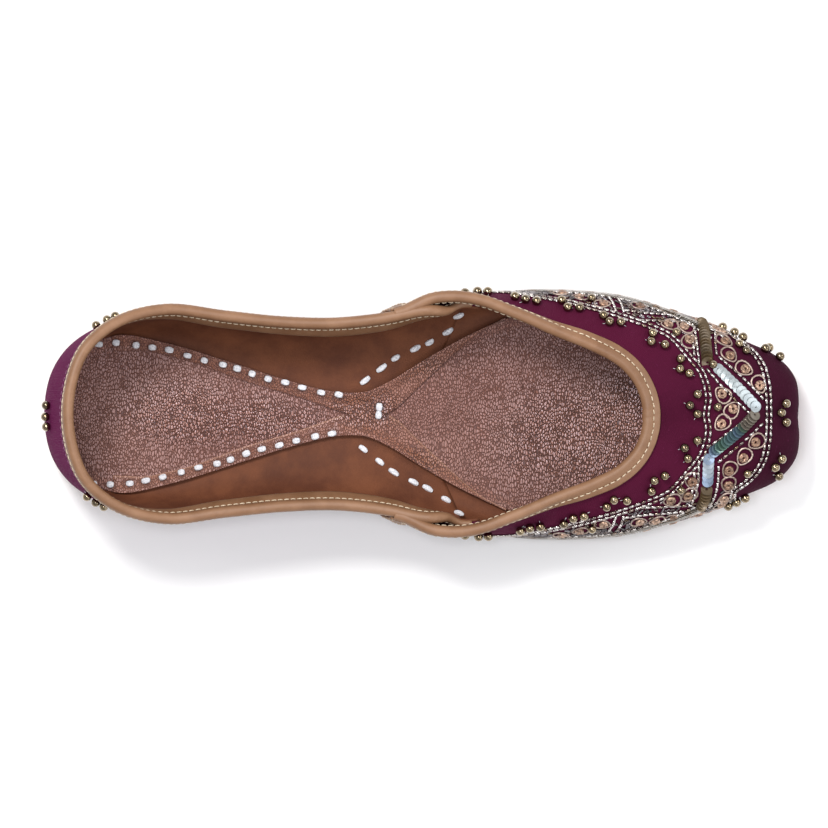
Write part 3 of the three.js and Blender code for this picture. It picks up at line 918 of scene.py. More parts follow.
def stitch_shape(bm):
    """Soft cotton lacing: a puffed block with two strands side by side, 1 mm long, wide and high."""
    bmesh.ops.create_cube(bm, size=1)
    bmesh.ops.subdivide_edges(bm, edges=bm.edges[:], cuts=3, use_grid_fill=True)
    for vert in bm.verts:
        x, y, z = vert.co
        puff = math.sqrt(max(0, 1 - (1.95 * x) ** 2 * 0.62 - (1.95 * y) ** 2 * 0.34))
        vert.co.z = z * puff * (1 - 0.25 * (abs(y) < 0.05))
        vert.co.y = y * (1 - 0.9 * x * x)
        vert.co.x = x * (1 - 0.5 * y * y - 0.5 * z * z)


STITCH = template(stitch_shape)


def lay_stitches(name, places, height, long, wide, thick, finish, down=False):
    frames = []
    for x, y, angle in places:
        turn = angle + random.uniform(-0.12, 0.12)
        size = (long * random.uniform(0.86, 1.12), wide * random.uniform(0.88, 1.1), thick)
        normal = np.array([0, 0, -1.0 if down else 1.0])
        point = np.array([x + random.uniform(-0.2, 0.2), y + random.uniform(-0.2, 0.2), height(x, y)])
        frames.append(stand(point, normal, np.array([math.cos(turn), math.sin(turn), 0]), size))
    return show(name, scatter(name, STITCH, frames), finish)


lay_stitches("sole_lacing", tread_lacing + [(117, 1.5, math.pi / 2), (117, -1.6, math.pi / 2)],
             lambda x, y: float(sole_bottom(x)) + 0.75, 3.3, 2.9, 1.5, WHITE, down=True)
lay_stitches("seat_lacing", seat_lacing, lambda x, y: 0.6, 3.6, 3.0, 1.2, WHITE, down=True)


# ---------------------------------------------------------------- insole: two pads and the band sewn over them
fine_u = np.linspace(0.02, TOE - 0.02, 3000)
fine_edge = inside_sole(fine_u, FEATHER - 0.6)
order = np.argsort(fine_edge[:, 0])


def insole_half(x):
    return np.interp(x, fine_edge[order, 0], np.abs(fine_edge[order, 1]))


def footbed(x, y):
    """The height of the pads' top: dished, and turned up against the walls."""
    half = np.maximum(insole_half(x), 1)
    near = np.clip(np.abs(y) / half, 0, 1.05)
    turned = 1.5 * smooth(near * half, half - 4.5, half)
    return sole_top(x) + GAP + 1.5 + turned + soft_wave(x, y, 17, 0.12)


HEEL_DROP = np.array([(20, 20.4), (23.7, 20.4), (33, 21), (48, 17.5), (67, 10.5), (84, 5.6), (99.5, 0)]).T
FOREFOOT_DROP = np.array([(115.5, 0), (118, 3), (126, 10.7), (136, 20), (144, 27), (156, 33)]).T


def rounded_drop(table, x):
    """The drop's half width, eased between its stations."""
    around_x = np.stack([np.interp(x + d, *table) for d in (-3, -1.5, 0, 1.5, 3)])
    return around_x.mean(axis=0)


HEEL_STITCHES = [(18, 23.2), (23.6, 23.5), (30, 23.0), (35.4, 22.2), (41.2, 21.1), (47.2, 19.4), (53, 17.8), (59, 16.4),
                 (63.6, 15), (68.6, 13.3), (74, 11.6), (79.8, 10.3), (85.5, 8.9), (91.6, 7.3), (97.4, 6.5)]
ARM_STITCHES = [(106, 11.3), (111.4, 15.5), (116, 18.9), (122.5, 22.1), (127.2, 24.2), (133.3, 27.9), (139.9, 31.5)]


def chain_angles(points):
    """Each stitch points at the next one."""
    points = np.array(points, float)
    ahead = np.gradient(points, axis=0)
    return [(x, y, math.atan2(a[1], a[0])) for (x, y), a in zip(points, ahead)]


seat_marks, arm_marks = [], []
for side in (1, -1):
    seat_marks += chain_angles([(x - (2 if side < 0 else 0), side * y) for x, y in HEEL_STITCHES])
    arm_marks += chain_angles([(x - (0.6 if side < 0 else 0), side * y * (1 if side > 0 else 1.04))
                               for x, y in ARM_STITCHES])
seat_marks += [(110.8, 2.2, 1.5), (110.8, -0.2, 1.6)]


def near_stitch(x, y, reach):
    spots = np.array([(a, b) for a, b, _ in seat_marks])
    gaps = (np.ravel(x)[:, None] - spots[None, :, 0]) ** 2 + (np.ravel(y)[:, None] - spots[None, :, 1]) ** 2
    return np.exp(-gaps.min(axis=1) / reach ** 2)


def pad_at(start, end, half):
    def place(i, j):
        x = start + (end - start) * i
        y = half(x) * (2 * j - 1)
        return np.stack([x, y + lean(x), footbed(x, y)], axis=1)
    return place


def heel_half(x):
    return np.minimum(insole_half(x), np.where(x < 42, 99, rounded_drop(HEEL_DROP, x) + 3.5))


def forefoot_half(x):
    return np.minimum(insole_half(x), np.where(x > 150, 99, rounded_drop(FOREFOOT_DROP, x) + 3.5))


pad = show("heel_pad", grid_mesh("heel_pad", 150, 70, pad_at(4.4, 101, heel_half)), SOCK_BROWN,
           ("heel_sock",))
thicken(pad, 1.0)
pad = show("forefoot_pad", grid_mesh("forefoot_pad", 180, 100, pad_at(113.5, 244.2, forefoot_half)), SOCK_BROWN,
           ("forefoot_sock",))
thicken(pad, 1.0)


def band_plan(i, j):
    """The band's places in plan: its left half from j = 0.5 outwards, its right half mirrored."""
    x = 22.5 + i * (153 - 22.5)
    inner = np.where(x < 107, rounded_drop(HEEL_DROP, x), rounded_drop(FOREFOOT_DROP, x))
    outer = np.maximum(insole_half(x), inner + 0.5)
    return x, np.where(j > 0.5, 1, -1) * (inner + (outer - inner) * np.abs(2 * j - 1)), inner


def band_at(i, j):
    x, y, inner = band_plan(i, j)
    lift = 0.8 - 0.3 * np.exp(-((np.abs(y) - inner) / 0.7) ** 2) * (inner > 0.4)
    pull = near_stitch(x, y, 2.1)
    rim = near_stitch(x, y, 3.4) - pull
    return np.stack([x, y + lean(x), footbed(x, y) + lift - 0.55 * pull + 0.2 * rim], axis=1)


# How much painted shade darkens the band round each stitch.
def stitch_shade_mark(i, j):
    x, y, _ = band_plan(i, j)
    return 0.85 * near_stitch(x, y, 1.9)


# Where the band's cut edges get their painted highlight on one side and painted shadow on the other.
def cut_edge_light_mark(i, j):
    _, y, inner = band_plan(i, j)
    return np.exp(-((np.abs(y) - inner) / 0.45) ** 2) * (inner > 0.4)


def band():
    """Both halves joined along the middle, and left open where the pads show."""
    halves = []
    for hand, low, high in (("left", 0.5 + 1e-9, 1), ("right", 0.5 - 1e-9, 0)):
        # hole carries the painted shade round the stitches.
        marks = {"hole": lambda i, j: stitch_shade_mark(i, low + (high - low) * j),
                 # cut carries the painted highlight and painted shadow on the cut edges.
                 "cut": lambda i, j: cut_edge_light_mark(i, low + (high - low) * j)}
        halves.append(grid_mesh("band_" + hand, 210, 30, lambda i, j: band_at(i, low + (high - low) * j), marks))
    bm = bmesh.new()
    for half in halves:
        bm.from_mesh(half)
        bpy.data.meshes.remove(half)
    bmesh.ops.remove_doubles(bm, verts=bm.verts, dist=0.05 * MM)
    bmesh.ops.recalc_face_normals(bm, faces=bm.faces)
    if sum(f.normal.z for f in bm.faces) < 0:
        bmesh.ops.reverse_faces(bm, faces=bm.faces)
    mesh = bpy.data.meshes.new("insole_band")
    bm.to_mesh(mesh)
    bm.free()
    return mesh


thicken(show("insole_band", band(), BAND_BROWN, ("insole_cross",)), 0.9)


def on_band(x, y):
    return float(footbed(np.array([x]), np.array([y]))[0]) + 0.75


lay_stitches("insole_lacing", seat_marks, on_band, 2.7, 2.0, 1.7, WHITE)


def surface_tree(thing):
    """A piece's faces as a tree to lay stitches and beads on, in form millimetres."""
    verts = [Vector(v.co) / MM + Vector((LENGTH / 2, 0, 0)) for v in thing.data.vertices]
    return BVHTree.FromPolygons(verts, [tuple(p.vertices) for p in thing.data.polygons])


def arm_lacing():
    """Lacing that holds the vamp's rear edge to the sole, seen inside on the lining's foot."""
    tree, frames = surface_tree(quarter_lining), []
    for x, y, angle in arm_marks:
        point, normal, _, _ = tree.ray_cast(Vector((x, y, 30)), Vector((0, 0, -1)))
        if point is None:
            point, normal, _, _ = tree.find_nearest(Vector((x, y, 12)))
        normal = np.array(normal) * (1 if normal[2] > 0 else -1)
        along = np.array([math.cos(angle), math.sin(angle), 0])
        size = (3.9 * random.uniform(0.8, 1.1), 1.7, 1.4)
        frames.append(stand(np.array(point), normal, along, size, 1.15))
    return scatter("arm_lacing", STITCH, frames)


show("arm_lacing", arm_lacing(), WHITE)


# ---------------------------------------------------------------- machine stitching on the bindings
def dash_shape(bm):
    """One machine stitch: a short thread sinking at both ends."""
    bmesh.ops.create_cone(bm, cap_ends=True, segments=6, radius1=0.5, radius2=0.5, depth=1,
                          matrix=Matrix.Rotation(math.pi / 2, 4, "Y"))
    bmesh.ops.subdivide_edges(bm, edges=[e for e in bm.edges if abs(e.verts[0].co.x - e.verts[1].co.x) > 0.5], cuts=2)
    for vert in bm.verts:
        vert.co.z += 0.35 - 1.6 * vert.co.x ** 2


DASH = template(dash_shape)


def sew(name, points, normals, pitch, long, thick, finish, lift=0.0):
    """Stitches at an even pitch along a line of points that lies on a surface."""
    run = np.concatenate([[0], np.cumsum(np.linalg.norm(np.diff(points, axis=0), axis=1))])
    count = int(run[-1] / pitch)
    frames = []
    for at in (np.arange(count) + 0.5) * run[-1] / count:
        point, normal, ahead = (np.array([np.interp(at, run, column[:, k]) for k in range(3)])
                                for column in (points, normals, np.gradient(points, axis=0)))
        tilt = np.cross(normal, ahead)
        tilt = tilt / np.linalg.norm(tilt) * random.uniform(-0.12, 0.12) * np.linalg.norm(ahead)
        frames.append(stand(point, normal, ahead + tilt, (long, thick, thick), lift))
    return show(name, scatter(name, DASH, frames), finish)


def line_on(place, j):
    """A line along a binding or wall at one share across it, with normals off its visible side."""
    i = np.linspace(0.004, 0.996, 900)
    points = place(i, np.full_like(i, j))
    ahead = np.gradient(points, axis=0)
    side = place(i, np.full_like(i, j + 0.01)) - place(i, np.full_like(i, j - 0.01))
    normal = np.cross(side, ahead)
    normal /= np.linalg.norm(normal, axis=1)[:, None]
    return points, normal


points, normals = line_on(quarter_hem, 0.74)
sew("quarter_seam_inside", points + normals * 0.95, normals, 2.1, 1.6, 0.34, CREAM)
points, normals = line_on(quarter_hem, 0.2)
sew("quarter_seam_outside", points + normals * 0.95, normals, 2.1, 1.6, 0.32, CREAM)
points, normals = line_on(vamp_hem, 0.19)
sew("throat_seam", points + normals * 0.95, normals, 2.2, 1.5, 0.36, CREAM)
points, normals = line_on(vamp_hem, 0.78)
sew("throat_seam_inside", points + normals * 0.95, normals, 2.2, 1.5, 0.32, CREAM)
for side, hand in ((1, "left"), (-1, "right")):
    for row, j in (("front", 0.82), ("rear", 0.2)):
        points, normals = line_on(lambda a, b: strip_at(side, a, b), j)
        normals = normals * -side
        sew(f"wing_seam_{hand}_{row}", points + normals * 0.72, normals, 2.2, 1.6, 0.32, CREAM)


# ---------------------------------------------------------------- embroidery
VAMP_TREE, QUARTER_TREE = surface_tree(vamp), surface_tree(quarter)
MIDDLE = np.array([0.0, 0.0, 16.0])


def outward(point, normal):
    point, normal = np.array(point), np.array(normal)
    away = point - MIDDLE
    away[0] = max(0.0, point[0] - 225)
    return point, normal if np.dot(away, normal) > 0 else -normal


def snap(place, tree=None):
    """The surface point under a plan place, or the one nearest to a place given with its height."""
    tree = tree or VAMP_TREE
    if len(place) == 2:
        x, y = place
        for pull in (0.0, 0.6, 1.4, 2.6):
            hit, normal, _, _ = tree.ray_cast(Vector((x, y - math.copysign(pull, y), 90)), Vector((0, 0, -1)))
            if hit is not None:
                return outward(hit, normal)
        place = (x, y, 17.0)
    hit, normal, _, _ = tree.find_nearest(Vector(place))
    return outward(hit, normal)


def run_through(points, per_step=14):
    """A smooth line through places on the vamp, laid on it: its points and their normals."""
    knots = np.array([snap(place)[0] for place in points])
    knots = np.concatenate([[2 * knots[0] - knots[1]], knots, [2 * knots[-1] - knots[-2]] * 2])
    u = 1 + np.linspace(0, len(points) - 1, per_step * (len(points) - 1) + 1)
    laid = [snap(p) for p in catmull(knots, np.minimum(u, len(points) - 1e-6))]
    points, normals = np.array([p for p, _ in laid]), np.array([n for _, n in laid])
    for _ in range(3):
        normals[1:-1] = (normals[:-2] + normals[1:-1] + normals[2:]) / 3
    normals /= np.linalg.norm(normals, axis=1)[:, None]
    return points, normals


def beside(line, offset):
    """The same line moved sideways on the vamp."""
    points, normals = line
    ahead = np.gradient(points, axis=0)
    side = np.cross(normals, ahead)
    side /= np.linalg.norm(side, axis=1)[:, None]
    moved = [snap(p) for p in points + side * offset]
    return np.array([p for p, _ in moved]), normals


def evenly(line, pitch, start=0.5):
    """Places at an even pitch on a line: point, normal, direction and share of the whole line."""
    points, normals = line
    run = np.concatenate([[0], np.cumsum(np.linalg.norm(np.diff(points, axis=0), axis=1))])
    count = max(1, int(round(run[-1] / pitch)))
    ahead = np.gradient(points, axis=0)
    found = []
    for at in (np.arange(count) + start) * run[-1] / count:
        point, normal, way = (np.array([np.interp(at, run, c[:, k]) for k in range(3)])
                              for c in (points, normals, ahead))
        found.append((point, normal, way / np.linalg.norm(way), at / run[-1]))
    return found


taken = []
bugle_frames, bead_frames, loop_frames, stone_frames, purl_frames = [], [], [], [], []
sequin_frames, sequin_tones, tail_frames = [], [], []


def turned(vector, axis, angle):
    return np.array(Matrix.Rotation(angle, 3, Vector(axis)) @ Vector(vector))


def bugle_line(line, pitch=2.15):
    for point, normal, way, _ in evenly(line, pitch):
        way = turned(way, normal, random.uniform(-0.16, 0.16))
        stretch = random.uniform(0.85, 1.08)
        bugle_frames.append(stand(point, normal, way, (stretch, 1, 1), 0.36))
        taken.append((*point, 1.0))


def double_line(points):
    line = run_through(points)
    bugle_line(beside(line, 0.78))
    bugle_line(beside(line, -0.78))


WAIST_STITCHES = [(149, 34.6), (143, 31), (136.8, 28.3), (130.8, 25), (125.4, 21.8), (119.8, 18.8), (112.6, 13.4)]


def waist_lacing():
    """Where the lacing that holds the vamp shows outside, just above the sole's edge."""
    frames = []
    for side in (1, -1):
        chain = [snap((x, side * (y + 0.5), float(sole_top(x)) + 2.2)) for x, y in WAIST_STITCHES]
        spots = np.array([point for point, _ in chain])
        for (point, normal), ahead in zip(chain, np.gradient(spots, axis=0)):
            size = (4.4 * random.uniform(0.85, 1.1), 2.0, 1.5)
            frames.append(stand(point, normal, ahead, size, 0.3))
    return scatter("waist_lacing", STITCH, frames)


show("waist_lacing", waist_lacing(), WHITE)
fine_u_line = np.linspace(-8.6, 8.6, 500)
points = from_rim(fine_u_line, 9.6, 0.12)
normals = from_rim(fine_u_line, 9.6, 1.12) - points
sew("quarter_fine_line", points, normals, 2.3, 1.3, 0.24, MAUVE, 0.05)

INNER_LEFT = [(218.7, 0), (219.4, 5.4), (217.4, 13.2), (213, 19), (206.5, 25.8), (200.5, 28.6), (194, 31),
              (186.3, 33.4), (178, 35.6), (170.8, 37.2), (163, 38.6, 27), (156, 40.2, 24), (149, 41, 20),
              (143, 40.4, 15), (139.6, 38, 11), (138.4, 36, 8.5)]
OUTER_LEFT = [(239.5, 0), (239.3, 6), (238.7, 11), (237.7, 15), (235, 19.4), (231.4, 22.8), (228, 25.4),
              (226, 26.8, 15), (224.8, 27.6, 11), (224, 27, 8)]


def mirrored(points):
    return [(place[0], -place[1], *place[2:]) for place in points]


double_line(mirrored(INNER_LEFT)[::-1] + INNER_LEFT[1:])
double_line(mirrored(OUTER_LEFT)[::-1] + OUTER_LEFT[1:])


SEQUIN_LIFT = 0.75


def sequin_strip(points, pitch, lean_angle, tones, size=1.0):
    """Overlapping discs threaded on a line; tones are (share of the line, shade) pairs."""
    line = run_through(points)
    for point, normal, way, share in evenly(line, pitch):
        tilt = lean_angle + random.uniform(-0.07, 0.07)
        across = np.cross(normal, way)
        up = turned(normal, across, -tilt)
        ahead = turned(way, across, -tilt)
        ahead = turned(ahead, up, random.uniform(-0.12, 0.12))
        disc = stand(point, up, ahead, (size, size, 1), 0)
        disc[:3, 3] += normal * SEQUIN_LIFT
        sequin_frames.append(disc)
        shade = np.interp(share, [t[0] for t in tones], [t[1] for t in tones])
        sequin_tones.append(min(1, max(0, shade + random.uniform(-0.03, 0.03))))
        taken.append((*point, 2.3))


sequin_strip([(235.6, 1.8), (231.2, 6.6), (226.6, 11), (222.2, 15.2)], 1.75, 0.14, [(0, 0.02), (1, 0.0)], 0.94)
sequin_strip([(219.2, 16.2), (218.7, 21), (218.2, 26), (217.4, 30.4)], 1.12, 0.8, [(0, 0.99), (1, 1)], 1.0)
sequin_strip([(235.2, 0.2), (231, -4.4), (226, -8.6), (220.8, -12.6)], 1.2, 0.5,
             [(0, 0.88), (0.3, 0.84), (0.45, 0.5), (0.6, 0.62), (0.75, 0.7), (0.86, 0.68), (0.95, 0.45), (1, 0.4)],
             0.97)
sequin_strip([(219.6, -14), (219.4, -18.2), (219.2, -22.8)], 1.6, 0.16,
             [(0, 0.34), (0.2, 0.16), (0.5, 0.12), (0.75, 0.3), (1, 0.4)], 0.95)
sequin_strip([(219, -24), (218.4, -27.6), (217, -30.2)], 1.12, 0.8, [(0, 1), (1, 0.97)], 1.0)

for points in (
        [(233.6, -0.2), (228.6, 4.4), (223.4, 9.6), (218.8, 15)],
        [(237.8, 4.8), (233.2, 9.6), (228.4, 14), (222.8, 18.8)],
        [(216.4, 16.6), (215.9, 21.6), (215.2, 26.6), (213.6, 31)], [(214.9, 19), (214.5, 22.4), (213.9, 26.6)],
        [(222.2, 19.2), (221.8, 23.6), (221.2, 28), (219.6, 31.4)],
        [(233.2, -0.8), (228.4, -4.4), (223.6, -8), (218.8, -11.2)], [(237.6, -3), (233.2, -7.2), (228.2, -11.4),
                                                                     (222.4, -16)],
        [(216.4, -15), (216.2, -20), (215.6, -25), (214, -29.4)], [(214.9, -19), (214.6, -22.6), (213.9, -26.4)],
        [(222.9, -16.8), (222.7, -21.6), (221.8, -26.4), (220, -30)]):
    bugle_line(run_through(points))


def loop_stone(place, way, size=1.0, stone=True):
    """A pear-shaped loop of pale zari round a coil of peach thread."""
    point, normal = snap(place)
    ahead = np.array([math.cos(way), math.sin(way), 0])
    loop_frames.append(stand(point, normal, ahead, (size, size, 1), 0.35))
    if stone:
        inner = point + (ahead - normal * np.dot(ahead, normal)) * 0.25
        stone_frames.append(stand(inner, normal, turned(ahead, normal, random.uniform(0, 3)), (size, size, 1), 0.1))
    taken.append((*point, 2.7 * size))


def stone_chain(points, size=1.0, turn=0.0):
    for k, (x, y) in enumerate(points):
        nx, ny = points[k + 1] if k + 1 < len(points) else (2 * x - points[k - 1][0], 2 * y - points[k - 1][1])
        loop_stone((x, y), math.atan2(ny - y, nx - x) + turn * (1 if k % 2 else -1), size)


stone_chain([(221.8, 28.2), (225, 24), (226.6, 19.3), (231.5, 14.8), (236.3, 9.6)], 1.0, 0.35)
stone_chain([(235.2, -9.2), (231.2, -14.2), (226.4, -18.4), (226.2, -23.2), (225, -27.8)], 1.0, 0.35)
for x, y, way in ((224.1, 6.5, 2.4), (227.4, 1.5, 0.9), (223.9, -3.1, 3.9), (213.2, 24.2, 1.2), (211.8, 28.6, 2.4),
                  (206.6, 29.4, 3.4), (214.2, -22.1, 4.9), (213, -26.8, 3.9), (207.4, -28.4, 3.2)):
    loop_stone((x, y), way)


for side in (1, -1):
    for points in ([(196.4, 30.7), (203, 30.5), (209, 30.2), (214.6, 29.9)],
                   [(191.5, 34.0), (198, 33.1), (204.5, 32.6), (211.6, 31.8)],
                   [(189, 33.4), (188.2, 36), (186.6, 38.4)], [(191.6, 33.2), (190.8, 36), (189.4, 38.2)]):
        bugle_line(run_through([(x, side * y) for x, y in points]))
    for x, y, way in ((196.8, 35.4, 0.4), (202.4, 35.0, 2.8), (208, 34.0, 0.2), (177.2, 38.4, 2.6), (184.8, 36.2, 0.5),
                      (171.2, 39.6, 0.3)):
        loop_stone((x, side * y), side * way, 0.92)


def bead(place, size=1.0, tree=None, tail=True):
    point, normal = snap(place, tree)
    bead_frames.append(stand(point, normal, np.array([1.0, 0.2, 0]), (size, size, size), 1.2 * size))
    taken.append((*point, 1.75 * size))
    if tail:
        way = turned(np.array([1.0, 0, 0]), normal, random.uniform(0, 6.28))
        side = point + (way - normal * np.dot(way, normal)) * 1.5
        tail_frames.append(stand(side, normal, turned(way, np.cross(normal, way), -0.6), (1.2, 0.16, 0.16), 0.25))


TRIOS = [
    [(155.6, 37.8, 30), (159, 36.8, 31), (162.7, 36, 31)], [(171.1, 36.6), (173, 34.4), (176.9, 34.2)],
    [(184.8, 31.8), (186.7, 29.8), (190.4, 29.6)], [(200.8, 26.1), (200.3, 23.4), (204.9, 22.4)],
    [(210.1, 17.8), (209.9, 14.6), (213.0, 13.1)], [(215.7, 6.4), (213.2, 2.8), (215.6, 0)],
    [(215.7, -8.6), (211.5, -11), (212.5, -14.4)], [(204.9, -20), (201.4, -21.6), (200.4, -25)],
    [(185.8, -30), (188.2, -27.8), (192.4, -28)], [(171.8, -35.4), (174.8, -33.6), (178.4, -32.9)],
    [(157.4, -37.4, 30), (160.5, -36.4, 31), (164, -35.8, 31)], [(143.8, -40, 25), (147, -39.8, 26)],
    [(143.4, 40, 25), (146.8, 39.8, 26)], [(139.4, 39.4, 17), (138, 38.2, 13)], [(139.4, -39.4, 17), (138, -38.2, 13)],
    [(238.2, 23.3), (239.4, 20.9), (242.8, 18.2)], [(244.7, 3.5), (243.2, 0.4), (244.7, -3)],
    [(243.4, -14.4), (241.2, -17.1), (242.4, -19.8)], [(225.3, 30.4), (228, 28.6), (230.8, 27)],
    [(231.6, -26.8), (228.7, -28.2), (226, -30)],
]
for trio in TRIOS:
    for place in trio:
        bead(place)
for place in ((181, 37.4), (181.2, -37.2), (231.9, 20.2), (232.3, -19.2), (222.3, 2.3), (208.8, 26.4),
              (210.3, -24.7), (221, 15.9), (229.6, 22.4)):
    bead(place, 0.92, tail=False)
for place in ((17.5, 29.4, 38), (21, 31.5, 38), (23.6, 33, 38.5), (1.6, 2.8, 34), (1.6, -0.9, 33.4), (1.4, -4.2, 34),
              (13.8, -28.4, 38), (16.6, -30.6, 37.5), (19.4, -32, 38)):
    bead(place, 0.95, QUARTER_TREE)


# The sides of the vamp, from the border down to the sole, are covered: rows that follow the sole's edge.
def side_line_at(side, start, end, share, slope=0.0):
    u = np.linspace(start, end, 160)
    rise = share + slope * (u - start) / (end - start)
    points = wall(side * u, rise, vamp_out(side * u, rise))
    ahead = np.gradient(points, axis=0)
    up = wall(side * u, rise + 0.01, vamp_out(u, rise)) - points
    normal = np.cross(ahead, up) * side
    normal /= np.linalg.norm(normal, axis=1)[:, None]
    sign = np.sign((normal[:, 1] * side).sum())
    return points, normal * (sign if sign else 1)


def wall_frame(side, u, share):
    point = wall(side * u, share, vamp_out(side * u, share))
    ahead = wall(side * (u + 0.05), share, vamp_out(side * u, share)) - point
    up = wall(side * u, share + 0.01, vamp_out(side * u, share)) - point
    normal = np.cross(ahead, up)
    normal /= np.linalg.norm(normal)
    return point, normal if normal[1] * side > 0 else -normal, ahead / np.linalg.norm(ahead)


RIBBON_LEAN = 0.5
for side in (1, -1):
    for share, start, end in ((0.43, 13.4, 17.3), (0.36, 12.9, 17.5), (0.255, 12.2, 17.8), (0.13, 11.9, 18.2)):
        bugle_line(side_line_at(side, start, end, share))
    points, normals = side_line_at(side, 12.7, 17.2, 0.395)
    for point, normal, way, share in evenly((points, normals), 0.9):
        across = np.cross(normal, way)
        up, ahead = turned(normal, across, -RIBBON_LEAN), turned(way, across, -RIBBON_LEAN)
        full = 0.3 + 0.42 * float(smooth(share, 0, 0.14) * (1 - smooth(share, 0.9, 1)))
        frame_here = stand(point, up, ahead, (full, full, 1), 0)
        frame_here[:3, 3] += normal * 0.7
        sequin_frames.append(frame_here)
        sequin_tones.append(random.choice((0.96, 1.0, 0.9, 0.85)))
        taken.append((*point, 1.7))
    for u in np.arange(12.5, 17.6, 0.6):
        for share, size in ((0.307, 0.92), (0.19, 0.86)):
            point, normal, ahead = wall_frame(side, u + (0.25 if share < 0.25 else 0), share)
            tilt = turned(ahead, normal, random.uniform(-0.4, 0.4))
            loop_frames.append(stand(point, normal, tilt, (size, size * 0.94, 1), 0.35))
            stone_frames.append(stand(point + tilt * 0.2, normal, tilt, (size, size, 1), 0.1))
            taken.append((*point, 2.5 * size))

border_x, border_y = np.array([place[:2] for place in INNER_LEFT[2:-3][::-1]]).T
low_x, low_z = np.array([(place[0], place[2]) for place in INNER_LEFT[::-1] if len(place) == 3]).T
spots = np.array(taken)


def clear_of_others(point, own):
    gap = np.linalg.norm(spots[:, :3] - point, axis=1) - spots[:, 3]
    return gap.min() > own


filler = np.random.default_rng(23)
for side in (1, -1):
    for share in np.arange(0.075, 0.74, 0.0165):
        line = side_line_at(side, 11.0, 19.3, share)
        for point, normal, way, _ in evenly(line, 2.0, filler.random()):
            x, y, z = point
            if x < 139 + filler.uniform(0, 1) or x > 223.5 + max(0, z - 12) * 0.12:
                continue
            if x < 166 and z > np.interp(x, low_x, low_z) - 1.0:
                continue
            if z > 20 and 166 <= x < 217.5 and abs(y) < np.interp(x, border_x, border_y) + 1.3:
                continue
            if x > 213 and abs(y) < 26.5 - 0.2 * (x - 213):
                continue
            if not clear_of_others(point, 0.25):
                continue
            way = turned(way, normal, filler.normal(0, 0.35))
            purl_frames.append(stand(point, normal, way, (filler.uniform(0.8, 1.15), 1, 1), 0.32))


def bugle_shape(bm):
    bmesh.ops.create_cone(bm, cap_ends=True, segments=7, radius1=0.5, radius2=0.5, depth=1.75,
                          matrix=Matrix.Rotation(math.pi / 2, 4, "Y"))


def purl_shape(bm):
    """A chip of ridged bullion wire."""
    bmesh.ops.create_cone(bm, cap_ends=True, segments=6, radius1=0.4, radius2=0.4, depth=1.7,
                          matrix=Matrix.Rotation(math.pi / 2, 4, "Y"))
    bmesh.ops.subdivide_edges(bm, edges=[e for e in bm.edges if abs(e.verts[0].co.x - e.verts[1].co.x) > 1], cuts=4)
    for vert in bm.verts:
        ridge = 1.0 if round(vert.co.x / 0.34) % 2 else 0.78
        vert.co.y *= ridge
        vert.co.z *= ridge


def bead_shape(bm):
    bmesh.ops.create_uvsphere(bm, u_segments=12, v_segments=8, radius=1.6)


def sequin_shape(bm):
    """A thin cupped disc with a hole for its thread."""
    bmesh.ops.create_circle(bm, segments=20, radius=2.0)
    inner = bmesh.ops.extrude_edge_only(bm, edges=bm.edges[:])["geom"]
    inner = [v for v in inner if isinstance(v, bmesh.types.BMVert)]
    bmesh.ops.scale(bm, verts=inner, vec=(0.22, 0.22, 1))
    bmesh.ops.translate(bm, verts=inner, vec=(0, 0, -0.16))
    bmesh.ops.solidify(bm, geom=bm.faces[:], thickness=0.1)


def ring_shape(bm, wide, long, wire, sides, count):
    """A closed ring of wire: a small circle spun round, then drawn out into a pear."""
    bmesh.ops.create_circle(bm, segments=sides, radius=wire, matrix=Matrix.Translation((1, 0, 0)) @ Matrix.Rotation(
        math.pi / 2, 4, "X"))
    bmesh.ops.spin(bm, geom=bm.verts[:] + bm.edges[:], cent=(0, 0, 0), axis=(0, 0, 1), angle=2 * math.pi,
                   steps=count, use_merge=True)
    bmesh.ops.remove_doubles(bm, verts=bm.verts, dist=1e-4)
    for vert in bm.verts:
        radius = math.hypot(vert.co.x, vert.co.y)
        x, y = vert.co.x / radius, vert.co.y / radius
        pear = 1 - 0.3 * x
        spread = radius - 1
        vert.co.x = x * (long + spread) - 0.2
        vert.co.y = y * (wide + spread) * pear


def loop_shape(bm):
    ring_shape(bm, 2.35, 3.0, 0.32, 5, 14)


def stone_shape(bm):
    """A coil of thread wound twice round: a low dome with a groove and an open middle."""
    profile = [(1.66, 0.0), (1.7, 0.6), (1.35, 1.0), (1.06, 0.72), (0.78, 1.02), (0.45, 0.8), (0.32, 0.2)]
    verts = [bm.verts.new((r, 0, z)) for r, z in profile]
    edges = [bm.edges.new(pair) for pair in zip(verts, verts[1:])]
    bmesh.ops.spin(bm, geom=verts + edges, cent=(0, 0, 0), axis=(0, 0, 1), angle=2 * math.pi, steps=10, use_merge=True)
    bmesh.ops.remove_doubles(bm, verts=bm.verts, dist=1e-4)


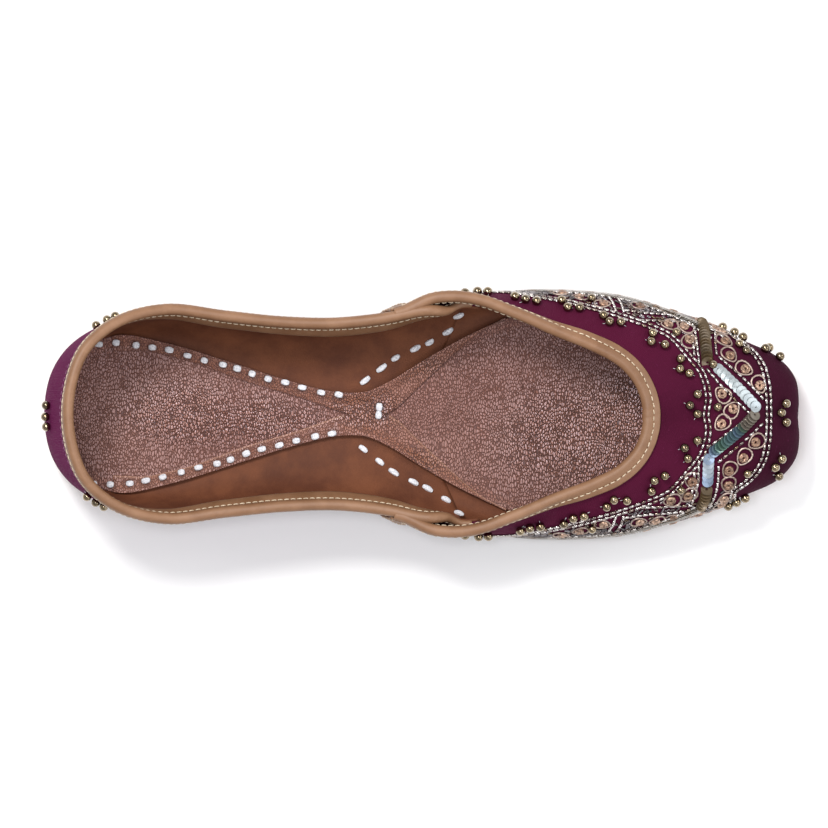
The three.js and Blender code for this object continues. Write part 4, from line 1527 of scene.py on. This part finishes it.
show("bugle_beads", scatter("bugle_beads", template(bugle_shape), bugle_frames), BUGLE)
show("bullion_chips", scatter("bullion_chips", template(purl_shape), purl_frames), PURL)
show("gold_beads", scatter("gold_beads", template(bead_shape), bead_frames), GOLD)
show("zari_loops", scatter("zari_loops", template(loop_shape), loop_frames), LOOP)
show("coil_stones", scatter("coil_stones", template(stone_shape), stone_frames), STONE)
discs = show("sequin_discs", scatter("sequin_discs", template(sequin_shape), sequin_frames, sequin_tones), FOIL)
discs.data.polygons.foreach_set("use_smooth", [False] * len(discs.data.polygons))
show("bead_thread_ends", scatter("bead_thread_ends", DASH, tail_frames), WHITE)


# ---------------------------------------------------------------- floor, light and camera
def flat_piece(name, size, place, finish):
    bm = bmesh.new()
    bmesh.ops.create_grid(bm, x_segments=1, y_segments=1, size=size, matrix=Matrix.Translation(place))
    mesh = bpy.data.meshes.new(name)
    bm.to_mesh(mesh)
    bm.free()
    mesh.materials.append(finish)
    thing = bpy.data.objects.new(name, mesh)
    bpy.context.scene.collection.objects.link(thing)


flat_piece("floor", 3.0, (0, 0, 0), plain_floor())


def lamp(name, place, aim, size, power, colour=(1, 1, 1)):
    data = bpy.data.lights.new(name, "AREA")
    data.shape, data.size, data.energy, data.color = "DISK", size, power, colour
    thing = bpy.data.objects.new(name, data)
    thing.location = place
    thing.rotation_euler = (Vector(aim) - Vector(place)).to_track_quat("-Z", "Y").to_euler()
    bpy.context.scene.collection.objects.link(thing)


lamp("key", (-0.35, 0.6, 1.25), (0, 0, 0.02), 0.4, 15.0, (1.0, 0.985, 0.965))
lamp("fill", (0.9, -0.6, 0.9), (0.02, 0, 0.02), 0.9, 4.5, (0.95, 0.97, 1.0))
lamp("front", (1.0, 0.35, 0.75), (0.08, 0, 0.02), 0.4, 3.0)
lamp("overhead", (-0.07, -0.02, 1.5), (0.0, 0, 0), 0.3, 7.0, (0.95, 0.95, 1.0))

scene = bpy.context.scene
world = bpy.data.worlds.new("studio")
world.use_nodes = True
world.node_tree.nodes["Background"].inputs["Color"].default_value = (1, 1, 1, 1)
world.node_tree.nodes["Background"].inputs["Strength"].default_value = 0.5
scene.world = world
scene.view_settings.view_transform = "Standard"

camera = bpy.data.objects.new("camera", bpy.data.cameras.new("camera"))
camera.data.lens = 600
camera.location = (-0.0026, 0.0, 4.588)
camera.data.clip_end = 20
scene.collection.objects.link(camera)
scene.camera = camera
